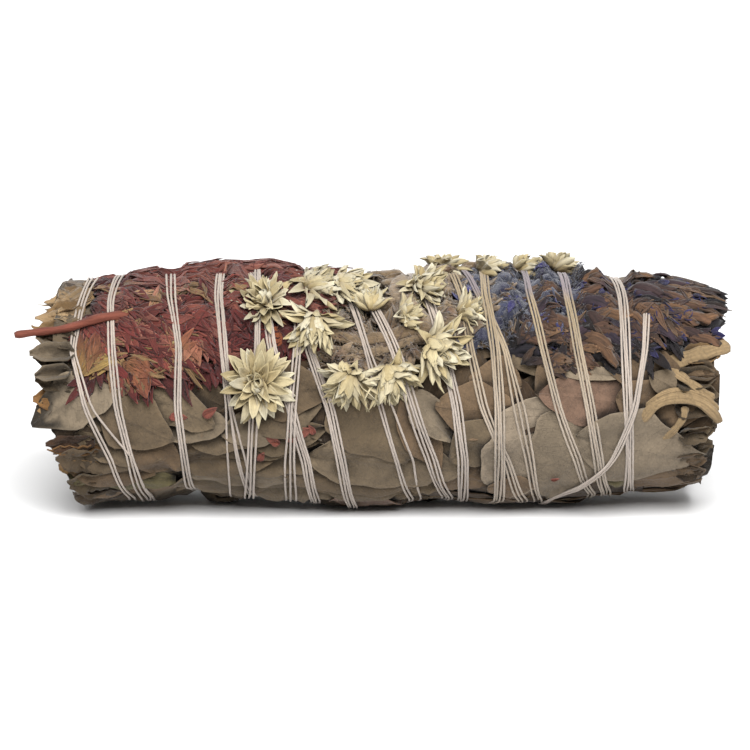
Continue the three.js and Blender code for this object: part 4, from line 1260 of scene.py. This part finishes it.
class Dresser:
    """Fits flowers between the leaves and what holds them down, which is the thread and the outline."""

    def __init__(self, leaf_top, lines):
        x, around = leaf_top.places()
        share = mound_share(x, around)
        self.bed = Field(0)
        self.bed.value = np.where(share > 0, 1.3 - 2.0 * share, 20)
        self.floor = Field(0)
        self.floor.value = np.minimum(leaf_top.value, self.bed.value)
        surface = Field(0)
        mounded = np.maximum(self.floor.value, (0.3 + 0.5 * crown(x)) * share)
        surface.value = np.where(share > 0, mounded, leaf_top.value)
        self.heights = strand_heights(surface, lines)
        self.limit = press_field(lines, self.heights)
        self.floor.value = np.minimum(self.floor.value, self.limit.value - 0.05)

    def below(self, most, height):
        most = np.minimum(most, height + 3)
        return most - PRESS_SOFTNESS * np.log1p(np.exp((most - height) / PRESS_SOFTNESS))

    def under_flowers(self, x, around, height):
        return self.below(np.minimum(self.limit.at(x, around), self.bed.at(x, around)), height)

    def fit(self, points):
        """Points whose heights run from 0 on the leaves to FLOWER_ROOM under what holds the flowers down."""
        x, around, up = points[..., 0], points[..., 1], points[..., 2]
        floor = self.floor.at(x, around)
        angle = turned(around)
        topmost = smooth(angle, 15, 60) * (1 - smooth(angle, 115, 150))
        most = floor + 1.4 + (crown(x) - floor - 1.4) * topmost
        room = np.maximum(0.1, np.minimum(most, self.limit.at(x, around)) - floor)
        share = up / FLOWER_ROOM
        share = np.minimum(share, 0.75) + 0.3 * (1 - np.exp(-np.maximum(0, share - 0.75) / 0.3))
        share = 0.06 * np.log1p(np.exp(np.clip(share / 0.06, -30, 60)))
        return np.stack([x, around, floor + room * share], -1)

    def lie_over(self, points, above):
        """Points kept over the leaves, and not far over the crown."""
        x, around, up = points[..., 0], points[..., 1], points[..., 2]
        floor = self.floor.at(x, around) + 0.05
        most = crown(x) + above
        up = most - 0.3 * np.log1p(np.exp((most - up) / 0.3))
        up = floor + 0.12 * np.log1p(np.exp(np.clip((up - floor) / 0.12, -30, 60)))
        return np.stack([x, around, up], -1)


def scattered(x, angle, share):
    """Roots at a share of the flowers' room."""
    return np.stack([x, arc(angle), FLOWER_ROOM * share], -1)


def along_spray(random, count, start, end, half):
    """Places scattered over a spray: along, degrees, and how far to the side from -1 to 1."""
    t = (np.arange(count) + random.uniform(0, 1, count)) / count
    side = random.uniform(-1, 1, count)
    x = start[0] + (end[0] - start[0]) * t
    angle = start[1] + (end[1] - start[1]) * t + np.degrees(side * half / BUNDLE_RADIUS)
    return x, angle, side, t


def florets(bag, dresser, random, roots, turn, petals, length, width, bases, tips, spread=22, rise=6, wave=0.28,
            rows=7, columns=5):
    """Bunches of crumpled narrow petals, each bunch fanning from its own root."""
    count = len(roots)
    total = count * petals
    each = lambda value: np.repeat(np.broadcast_to(value, (count,)), petals)
    fan = np.tile(np.linspace(-1, 1, petals), count) + random.normal(0, 0.3, total)
    way = each(turn) + fan * spread
    lift = each(rise) + random.normal(0, 9, total)
    forward = heading(way, lift)
    up = unit(heading(way, lift + 90) + 0.5 * random.normal(size=(total, 3)))
    start = np.repeat(roots, petals, 0) + random.normal(0, 0.3, (total, 3)) * np.array([1, 1, 0.8])
    size = each(length) * random.uniform(0.7, 1.2, total)
    points, faces, places = blades(
        start, forward, up, size, each(width) * random.uniform(0.7, 1.3, total), bend=random.normal(-8, 26, total),
        cup=random.uniform(0.3, 1.4, total), crease=random.uniform(-0.2, 0.9, total), wave=wave, thickness=0.16,
        rows=rows, columns=columns, seed=int(random.integers(1000)))
    bright = np.repeat(random.uniform(0.75, 1.25, (count, 1)), petals, 0)
    base = bright * varied(random, bases, total, 0.25)
    tip = bright * varied(random, tips, total, 0.2)
    bag.add(rolled_up(dresser.fit(points)), faces, shaded(base, tip, points.shape, 0.8), places)


# The fewer faces of petals that lie under others.
BURIED = dict(rows=5, columns=3)


def bunches(bag, dresser, random, count, start, end, half, room, way, *form, sweep=0, **more):
    """Florets scattered over a spray. Room is the least and the greatest share of the flowers' room where they
    root, and way is their turn and its scatter. Sweep is how much the turn grows from start to end."""
    x, angle, _, t = along_spray(random, count, start, end, half)
    roots = scattered(x, angle, random.uniform(*room, count))
    turn = sweep * t + random.normal(*way, count)
    florets(bag, dresser, random, roots, turn, *form, **more)


# Florets of the red spray that stand out by themselves: where they grow from, which way they point, how many
# petals, their length and width, and the colours of root and tip.
SINGLE_FLORETS = [
    ((-44.4, 22, 0.9), 74, 7, 7.0, 1.3, linear(206, 168, 96), linear(158, 84, 66)),
    ((-41.5, 44, 0.9), -92, 6, 6.0, 1.5, linear(150, 80, 62), linear(176, 126, 84)),
    ((-37.0, 29, 1.0), -38, 5, 4.6, 2.4, linear(140, 98, 60), linear(174, 104, 78)),
    ((-36.2, 24, 0.9), -66, 4, 4.0, 2.6, linear(150, 96, 60), linear(178, 102, 76)),
    ((-38.6, 30, 0.9), 196, 5, 5.6, 1.0, linear(196, 164, 92), linear(168, 132, 82)),
    ((-34.0, 36, 0.9), 8, 6, 6.4, 0.9, linear(170, 128, 74), linear(196, 170, 112)),
    ((-31.0, 30, 0.9), 24, 5, 5.4, 1.2, linear(150, 112, 70), linear(170, 100, 74)),
    ((-31.4, 45, 0.9), -70, 4, 6.4, 1.9, linear(150, 84, 64), linear(196, 128, 96)),
    ((-15.2, 37, 1.0), 80, 5, 2.6, 2.2, linear(150, 78, 44), linear(176, 96, 52)),
    ((-27.5, 40, 0.8), -96, 4, 4.6, 1.8, linear(160, 92, 70), linear(190, 130, 100)),
]


def red_sprays(dresser, material):
    """Crowded bunches of dull red petals, with tan stalks and calyxes among them."""
    random = np.random.default_rng(31)
    upper = Bag()
    spray = upper, dresser, random
    # The florets under the rest, near-black at the root and dark red at the tip, are painted shade, and so are the
    # near-black roots of those above.
    bunches(*spray, 60, (-45, 82), (-9, 88), 10, (0, 0.35), (0, 50), 5, 5.5, 1.7, RED_PAINTED_SHADE, RED_DARK, 30, **BURIED)
    bunches(*spray, 86, (-44, 82), (-9, 88), 10, (0.4, 0.95), (0, 30), 5, 6.4, 1.45, RED_PAINTED_SHADE + RED_DARK, RED, 24)
    bunches(*spray, 16, (-43, 66), (-16, 62), 5, (0.7, 1), (-10, 30), 3, 5.4, 0.9, RED_TAN, RED_TAN + RED[2:3], 20)
    bunches(*spray, 9, (-45, 72), (-42, 78), 7, (0.3, 1), (184, 16), 3, 5.6, 2.4, RED_TAN, PALE_TAN, 16, wave=0.5,
            columns=7)
    upper.piece("red_spray_upper", material, "red_flower", "red_flower_spike_upper")

    lower = Bag()
    spray = lower, dresser, random
    # As above, the under-layer and the near-black roots are painted shade.
    bunches(*spray, 44, (-44, 40), (-24, 46), 6, (0, 0.4), (-40, 50), 5, 5, 1.5, RED_PAINTED_SHADE, RED_DARK, 30, **BURIED)
    bunches(*spray, 40, (-44, 42), (-24, 46), 4.6, (0.4, 0.95), (-66, 26), 5, 5.8, 1.4, RED_PAINTED_SHADE + RED_DARK,
            RED[1:] + RED_DARK[:2], 18, sweep=56)
    bunches(*spray, 70, (-24, 47), (-11, 56), 5.6, (0.1, 0.9), (20, 60), 5, 4, 1.5, RED_PAINTED_SHADE, RED_DARK, 34, wave=0.4)
    bunches(*spray, 18, (-43, 32), (-28, 40), 4, (0.6, 1), (-30, 50), 4, 4.6, 0.8, RED_TAN, RED_TAN, 16)
    for (x, angle, share), turn, petals, length, width, base, tip in SINGLE_FLORETS:
        roots = scattered(np.array([x]), np.array([angle]), np.array([share + 0.2]))
        florets(*spray, roots, turn, petals, length, width, [base], [tip], 14, rise=2, columns=7)
    lower.piece("red_spray_lower", material, "red_flower", "red_flower_spike_lower")


# Each cream head, near its place in the solid model: where it sits, which way it faces, how far it stands up, and
# its size. How open it is goes from 0, a closed bunch, to 1, a star.
HEADS = [
    dict(at=(-17.6, 17), facing=0, rise=84, size=4.5, open=1.0, heart=True),
    dict(at=(-16.3, 60), facing=170, rise=65, size=4.6, open=0.9),
    dict(at=(-10.4, 69), facing=20, rise=35, size=5.4, open=0.5),
    dict(at=(-9.0, 51), facing=-95, rise=35, size=5.2, open=0.4),
    dict(at=(-6.0, 74), facing=-20, rise=30, size=5.0, open=0.5),
    dict(at=(-0.6, 55), facing=100, rise=35, size=3.8, open=0.3),
    dict(at=(3.6, 51), facing=10, rise=25, size=3.6, open=0.35),
    dict(at=(-3.2, 24), facing=-115, rise=20, size=4.8, open=0.5),
    dict(at=(1.8, 26), facing=-70, rise=20, size=5.0, open=0.55),
    dict(at=(7.8, 36), facing=-30, rise=30, size=5.2, open=0.6),
    dict(at=(6.4, 73), facing=-20, rise=40, size=4.6, open=0.7),
    dict(at=(12.4, 53), facing=15, rise=20, size=3.8, open=0.2),
    dict(at=(9.5, 95), facing=30, rise=40, size=4.0, open=0.6),
    dict(at=(15.6, 92), facing=5, rise=22, size=4.4, open=0.4),
    dict(at=(21.0, 99), facing=10, rise=25, size=4.2, open=0.4),
    dict(at=(27.0, 106), facing=40, rise=40, size=4.0, open=0.8),
]
HEAD_LIFT = 1.6
HEAD_RISE = 1.2
HEAD_FLATNESS = 0.72
HEAD_SIZE = 1.2
CREAM_BASE = np.array([0.46, 0.36, 0.2])
HEART = [linear(150, 118, 66), linear(178, 150, 92)]
HEART_TIP = linear(196, 172, 116)

# The whorls of bracts from the outside in: how many, how far they lean out in degrees, and their share of the size.
WHORLS = [(14, 68, 0.92), (13, 52, 1.0), (11, 38, 0.94), (8, 24, 0.84), (6, 11, 0.7)]


def oval(t):
    return np.sin(np.pi * np.clip(t, 0, 1) ** 0.8) ** 0.62 * 0.95 + 0.05


def cream_head(head, index, dresser, material):
    """Papery bracts in whorls round a tan heart."""
    random = np.random.default_rng(200 + index)
    bag = Bag()
    axis = heading(head["facing"], head["rise"])
    side = unit(np.cross(axis, [0.3, 0.2, 1.0] if abs(axis[2]) < 0.9 else [1.0, 0, 0]))
    other = np.cross(axis, side)
    middle = np.array([head["at"][0], arc(head["at"][1]), HEAD_LIFT])

    def outward_at(turn):
        return np.cos(turn)[:, None] * side + np.sin(turn)[:, None] * other

    for number, opening, share in WHORLS:
        turn = 2 * np.pi * (np.arange(number) + random.uniform(-0.25, 0.25, number)) / number
        outward = outward_at(turn + random.uniform(0, 6))
        tilt = np.radians(opening * (0.42 + 0.8 * head["open"]) + random.normal(0, 7, number))
        forward = np.cos(tilt)[:, None] * axis + np.sin(tilt)[:, None] * outward
        up = np.cos(tilt)[:, None] * -outward + np.sin(tilt)[:, None] * axis
        roots = middle + 0.5 * outward * np.sin(tilt)[:, None] + 0.25 * forward
        length = HEAD_SIZE * head["size"] * share * random.uniform(0.85, 1.08, number)
        points, faces, places = blades(
            roots, forward, up, length, head["size"] * 0.33 * random.uniform(0.7, 1.25, number), shape=oval,
            bend=random.normal(6, 28, number), cup=random.uniform(0.3, 1.2, number),
            crease=random.uniform(0, 0.4, number), wave=0.26, thickness=0.08, rows=7, columns=5, seed=index + number)
        base = varied(random, CREAM, number, 0.12) * CREAM_BASE
        tint = shaded(base, varied(random, CREAM, number, 0.16), points.shape, 0.7)
        points[..., 2] = middle[2] + HEAD_FLATNESS * (points[..., 2] - middle[2])
        bag.add(rolled_up(dresser.lie_over(points, HEAD_RISE)), faces, tint, places)
    heart_size, count = (1.5, 90) if head.get("heart") else (0.7, 30)
    outward = outward_at(random.uniform(0, 2 * np.pi, count))
    reach = np.sqrt(random.uniform(0, 1, count))[:, None] * heart_size
    roots = middle + reach * outward + 0.3 * axis
    forward = unit(axis + 0.35 * outward * reach + 0.2 * random.normal(size=(count, 3)))
    points, faces, places = blades(roots, forward, random.normal(size=(count, 3)), 1.3, 0.3, shape=strap,
                                   thickness=0.14, rows=3, columns=2)
    tint = shaded(varied(random, HEART, count), HEART_TIP, points.shape)
    bag.add(rolled_up(dresser.lie_over(points, HEAD_RISE)), faces, tint, places)
    bag.piece(f"cream_head_{index + 1:02d}", material, "cream_flower", f"cream_flower_head_{index + 1:02d}")


WOOLLY_STALKS = [
    ([(-11, 50, 1.3), (-4, 40, 1.5), (3, 43, 1.6), (9, 47, 1.7), (13.5, 50, 1.6)], 0.85, 1.0),
    ([(9, 47, 1.7), (5, 60, 1.8), (3, 70, 1.9), (5, 84, 1.9), (13, 92, 1.8)], 0.95, 1.05),
    ([(-9, 36, 0.8), (-2, 33, 0.9), (6, 40, 1.1), (12, 42, 1.0)], 0.8, 0.7),
    ([(-6, 66, 1.2), (0, 62, 1.4), (6, 66, 1.3), (13, 72, 1.2)], 0.8, 0.8),
    ([(-2, 92, 1.2), (6, 98, 1.4), (14, 104, 1.4), (24, 108, 1.2)], 0.9, 0.8),
    ([(1, 80, 1.6), (7, 79, 1.7), (12, 84, 1.4), (17, 84, 1.2)], 0.85, 0.8),
    ([(10, 60, 1.2), (13, 55, 1.4), (16, 48, 1.2), (17, 44, 0.8)], 0.8, 0.6),
]


def fibres(bag, dresser, random, roots, forward, length, width, colours):
    """Short loose hairs."""
    count = len(roots)
    points, faces, places = blades(
        roots, forward, random.normal(size=(count, 3)), length * random.uniform(0.6, 1.3, count),
        width * random.uniform(0.7, 1.3, count), bend=random.normal(0, 40, count), thickness=width * 0.7,
        rows=3, columns=2)
    tint = shaded(varied(random, colours, count), varied(random, colours, count), points.shape)
    bag.add(rolled_up(dresser.fit(points)), faces, tint, places)


def woolly_stalks(dresser, material):
    """The felted branching stalk of the cream heads, with its small withered leaves."""
    random = np.random.default_rng(47)
    bag = Bag()
    spray = bag, dresser, random
    steps, sides, hairs = 30, 12, 160
    for points, first, last in WOOLLY_STALKS:
        path = surface_path(points, steps)
        rough = 1 + 0.13 * random.normal(size=(steps, sides))
        size = np.linspace(first, last, steps) * rounded_off(steps, 0.4)
        rings = tube_rings(path, size[:, None] * blur_grid(rough), sides, (0, 0, 1))
        bag.add_tube(dresser.fit(rings), varied(random, BEIGE, 1)[0])
        pick = random.integers(0, steps, hairs)
        out = unit(random.normal(size=(hairs, 3)) + np.array([0, 0, 0.6]))
        roots = path[pick] + out * size[pick][:, None] * 0.95
        fibres(*spray, roots, out + 0.6 * random.normal(size=(hairs, 3)), 0.8, 0.09, BEIGE)
    bunches(*spray, 80, (-9, 56), (22, 84), 10, (0.1, 0.9), (20, 60), 4, 3.4, 1.2, BEIGE_DARK, BEIGE, 34, wave=0.35)
    bunches(*spray, 34, (-10, 40), (14, 50), 4.5, (0.1, 0.7), (0, 50), 4, 3.2, 1.1, BEIGE_DARK, BEIGE, 34, wave=0.35)
    x, angle, _, _ = along_spray(random, 900, (-9, 56), (22, 84), 10)
    roots = scattered(x, angle, random.uniform(0.3, 1, len(x)))
    fibres(*spray, roots, random.normal(size=(len(x), 3)), 1.4, 0.08, BEIGE)
    bag.piece("woolly_stalks", material, "fuzzy_stalk", "cream_flower_stalk")


def lump(bag, dresser, middle, size, random, colours):
    count, sides = 9, 12
    t = np.linspace(0.02, 0.98, count)
    forward = heading(random.uniform(-40, 40), random.uniform(-10, 20))
    path = middle + (t[:, None] - 0.5) * 2 * size * 1.2 * forward
    radii = size * np.sqrt(1 - (2 * t - 1) ** 2)
    rough = 1 + 0.1 * random.normal(size=(count, sides))
    rings = tube_rings(path, radii[:, None] * rough, sides, (0.1, 0.2, 1))
    bag.add_tube(dresser.fit(rings), varied(random, colours, 1)[0])


def blue_spray(dresser, material):
    """Blue-grey woolly lumps with fine hair, and a few dark blue petals between them."""
    random = np.random.default_rng(61)
    bag = Bag()
    x, angle, _, _ = along_spray(random, 84, (12.5, 66), (30, 78), 8.5)
    for root in scattered(x, angle, random.uniform(0.35, 0.8, len(x))):
        lump(bag, dresser, root, random.uniform(0.7, 1.3), random, BLUE_DEEP + BLUE_GREY[:2])
    x, angle, _, _ = along_spray(random, 2800, (12, 65), (31, 78), 9)
    roots = scattered(x, angle, random.uniform(0.5, 1.1, len(x)))
    forward = random.normal(size=(len(x), 3)) + np.array([0.4, 0, 0.3])
    fibres(bag, dresser, random, roots, forward, 1.2, 0.08, BLUE_GREY)
    x, angle, _, _ = along_spray(random, 26, (13, 64), (30, 78), 8)
    roots = scattered(x, angle, random.uniform(0.6, 1, len(x)))
    florets(bag, dresser, random, roots, random.uniform(0, 360, len(x)), 2, 1.9, 1.0, BLUE, BLUE, 30)
    bag.piece("blue_spray", material, "blue_flower", "blue_flower_spike_left")


# The husks as how many, from where to where, how far to each side, their shares of the room, and their colours.
# The lowest husks get near-black colours, painted shade in the depth of the spray.
HUSK_GROUPS = [
    (26, (20, 48), (34, 50), 5.0, 0.0, 0.4, HUSK_PAINTED_SHADE),
    (60, (32, 64), (50, 70), 7.5, 0.0, 0.4, HUSK_PAINTED_SHADE),
    (22, (21, 47), (34, 52), 5.0, 0.4, 0.95, HUSK),
    (66, (31, 66), (49, 70), 7.8, 0.4, 0.95, HUSK),
]


def husk(bag, dresser, random, root, turn, colours):
    """A dry ribbed calyx with an open, toothed mouth."""
    steps, sides = 9, 12
    way = heading(turn, random.uniform(-4, 14))
    length = random.uniform(3.8, 5.8)
    t = np.linspace(0, 1, steps)
    path = root + (t[:, None] - 0.3) * length * way
    path = path + 0.25 * np.sin(t * 5 + random.uniform(0, 6))[:, None]
    around = ring_turns(sides)
    size = random.uniform(0.65, 1.05) * np.sin(np.pi * (0.1 + 0.66 * t)) ** 0.8
    ribs = 1 + 0.2 * np.sin(6 * around + random.uniform(0, 6)) * (0.4 + t[:, None])
    radii = size[:, None] * ribs + 0.06 * random.normal(size=(steps, sides))
    rings = tube_rings(path, radii, sides, (0.05, 0.1, 1))
    teeth = 0.5 * np.sin(5 * around + random.uniform(0, 6))
    rings[-1] += teeth[:, None] * way
    tint = varied(random, colours, 1, 0.2)[0] * np.linspace(0.7, 1.25, steps)[:, None]
    bag.add_tube(dresser.fit(rings), np.repeat(tint, sides, 0))


def purple_spray(dresser, material):
    """Ribbed brown-purple husks that point to the right end, with papery bracts and blue petals among them."""
    random = np.random.default_rng(67)
    bag = Bag()
    spray = bag, dresser, random
    for count, start, end, half, low, high, colours in HUSK_GROUPS:
        x, angle, side, _ = along_spray(random, count, start, end, half)
        roots = scattered(x, angle, random.uniform(low, high, count))
        for root, off in zip(roots, side):
            husk(*spray, root, random.normal(0, 24) + 10 * off, colours)
    # The petals under the rest and the roots of those above are painted shade.
    bunches(*spray, 60, (20, 50), (49, 67), 8, (0, 0.4), (0, 40), 4, 4.2, 1.3, HUSK_PAINTED_SHADE, HUSK_PAINTED_SHADE, 26, **BURIED)
    bunches(*spray, 80, (21, 50), (49, 68), 7.8, (0.5, 1), (0, 30), 3, 4.2, 1.0, HUSK_PAINTED_SHADE + HUSK,
            HUSK + [linear(170, 134, 100)], 22, wave=0.3)
    bunches(*spray, 52, (24, 54), (50, 68), 7.5, (0.4, 0.9), (0, 50), 2, 2.3, 1.1, HUSK_PAINTED_SHADE, BLUE, 30)
    bag.piece("purple_spray", material, "purple_flower", "blue_flower_spike_right")


RED_STEM = [(-54, 43, 1.5), (-50, 46, 1.7), (-45.5, 48.5, 1.5), (-41, 52, 1.5), (-37, 54, 0.9)]


def red_stem(material):
    """The red spray's ribbed stem, which stands out at the left end and dives under the petals."""
    bag = Bag()
    steps, sides = 30, 12
    path = surface_path(RED_STEM, steps)
    ribs = 1 + 0.16 * np.sin(4 * ring_turns(sides))
    size = np.linspace(0.48, 0.62, steps) * (1 + 0.08 * np.sin(np.arange(steps)))
    size[0] *= 0.7
    bag.add_tube(tube_rings(path, size[:, None] * ribs[None], sides, (0, 0, 1)), linear(150, 84, 66))
    bag.piece("red_spray_stem", material, "red_stem", "red_flower_stem")


# Loose red petals on the leaves: along, degrees, turn and length.
LOOSE_PETALS = [(-23, 40, 200, 5.5), (-25.8, 1, 30, 2.6), (-16.5, 7, 170, 3.2), (-14.2, -14, 150, 2.4),
                (-17.6, -25, 60, 2.0), (-13.5, -11, 20, 4.4), (-9, -9, 120, 1.8), (6.9, 74, 90, 2.2),
                (8.5, 64, 60, 1.8), (26.4, -37, 10, 1.4), (-30.8, 0, 0, 2.8)]


def loose_petals(dresser, material):
    random = np.random.default_rng(83)
    bag = Bag()
    x, angle, turn, length = np.array(LOOSE_PETALS).T
    roots = np.stack([x, arc(angle), dresser.floor.at(x, arc(angle)) + 0.3], -1)
    points, faces, places = blades(
        roots, heading(turn, 2), heading(turn, 92), length, length * 0.5, bend=-10, cup=0.5, crease=0.3, wave=0.3,
        thickness=0.12, rows=9, columns=7, seed=9)
    tint = shaded(varied(random, RED, len(x)), varied(random, RED[:1], len(x)), points.shape)
    points = dresser.lie_over(points, 0)
    points[..., 2] = dresser.below(dresser.limit.at(points[..., 0], points[..., 1]), points[..., 2])
    bag.add(rolled_up(points), faces, tint, places)
    bag.piece("loose_red_petals", material, "red_flower")


# Stage

CAMERA_ELEVATION = 15
LENS = 300
SENSOR = 36
FRAME_WIDTH = 0.1141
LOOK_AT = Vector((0.81, 1.71, 19.5)) * MM


def make_camera():
    data = bpy.data.cameras.new("camera")
    data.lens = LENS
    data.sensor_width = SENSOR
    camera = bpy.data.objects.new("camera", data)
    bpy.context.scene.collection.objects.link(camera)
    distance = FRAME_WIDTH * LENS / SENSOR
    elevation = math.radians(CAMERA_ELEVATION)
    back = Vector((0, -math.cos(elevation), math.sin(elevation)))
    camera.location = LOOK_AT + back * distance
    camera.rotation_euler = (-back).to_track_quat("-Z", "Y").to_euler()
    bpy.context.scene.camera = camera


def area_light(name, place, size, power):
    data = bpy.data.lights.new(name, "AREA")
    data.size = size
    data.energy = power
    light = bpy.data.objects.new(name, data)
    light.location = place
    light.rotation_euler = (LOOK_AT - Vector(place)).to_track_quat("-Z", "Y").to_euler()
    bpy.context.scene.collection.objects.link(light)


def make_stage():
    mesh = bpy.data.meshes.new("floor")
    mesh.from_pydata([(-3, -3, 0), (3, -3, 0), (3, 3, 0), (-3, 3, 0)], [], [(0, 1, 2, 3)])
    floor = bpy.data.objects.new("floor", mesh)
    paint = bpy.data.materials.new("floor")
    paint.use_nodes = True
    shader = paint.node_tree.nodes["Principled BSDF"]
    shader.inputs["Base Color"].default_value = (0.72, 0.72, 0.72, 1)
    shader.inputs["Roughness"].default_value = 0.9
    mesh.materials.append(paint)
    bpy.context.scene.collection.objects.link(floor)
    world = bpy.data.worlds.new("studio")
    world.use_nodes = True
    world.node_tree.nodes["Background"].inputs["Color"].default_value = (1, 1, 1, 1)
    world.node_tree.nodes["Background"].inputs["Strength"].default_value = 0.22
    bpy.context.scene.world = world
    area_light("key", (0.12, -0.82, 1.03), 0.9, 41.0)
    area_light("fill", (-0.4, 1.0, 0.4), 1.0, 12.0)
    bpy.context.scene.view_settings.view_transform = "Standard"


def build():
    field = Field(CORE_HEIGHT)
    laid = all_leaves(field)
    pack = Pack(field)
    lines = [strand_line(*run) for run in lane_runs()]
    dresser = Dresser(pack.top, lines)

    leaf_material = leaf_finish()
    bags = [Bag() for _ in SPRIG_STARTS]
    for leaf in laid:
        add_leaf(bags[sprig_of(float(angle_of(leaf["around"].mean())))], leaf, pack, dresser)
    random = np.random.default_rng(17)
    end_bag(bags, random, -1)
    end_bag(bags, random, 1)
    core_bag(bags[0])
    low_points(bags[4])
    end_curls(bags)
    stalk_loops(bags[0])
    for i, bag in enumerate(bags):
        bag.piece(f"sage_leaves_{i + 1}", leaf_material, "sage_leaf", f"sage_sprig_{i + 1}")

    wood = wood_finish()
    for i, stem in enumerate(STEMS):
        woody_stem(stem, i, wood)
    red = petal_finish("dried_red_petal", 0.85, 0.1, 3.0, 0.42, 0.0004)
    red_sprays(dresser, red)
    red_stem(wood)
    loose_petals(dresser, red)
    cream = petal_finish("papery_cream_bract", 0.6, 0.15, 2.2, 0.8, 0.0001)
    for i, head in enumerate(HEADS):
        cream_head(head, i, dresser, cream)
    woolly_stalks(dresser, wool_finish("woolly_stalk", 1800))
    blue_spray(dresser, wool_finish("woolly_blue", 2000))
    purple_spray(dresser, petal_finish("papery_husk", 0.8, 0.1, 4.0, 0.3, 0.0004))
    strands = thread_bag(lines, dresser.heights)
    strands.piece("cotton_strands", cotton_finish(), "cotton_thread", "binding_thread")


make_camera()
make_stage()
build()
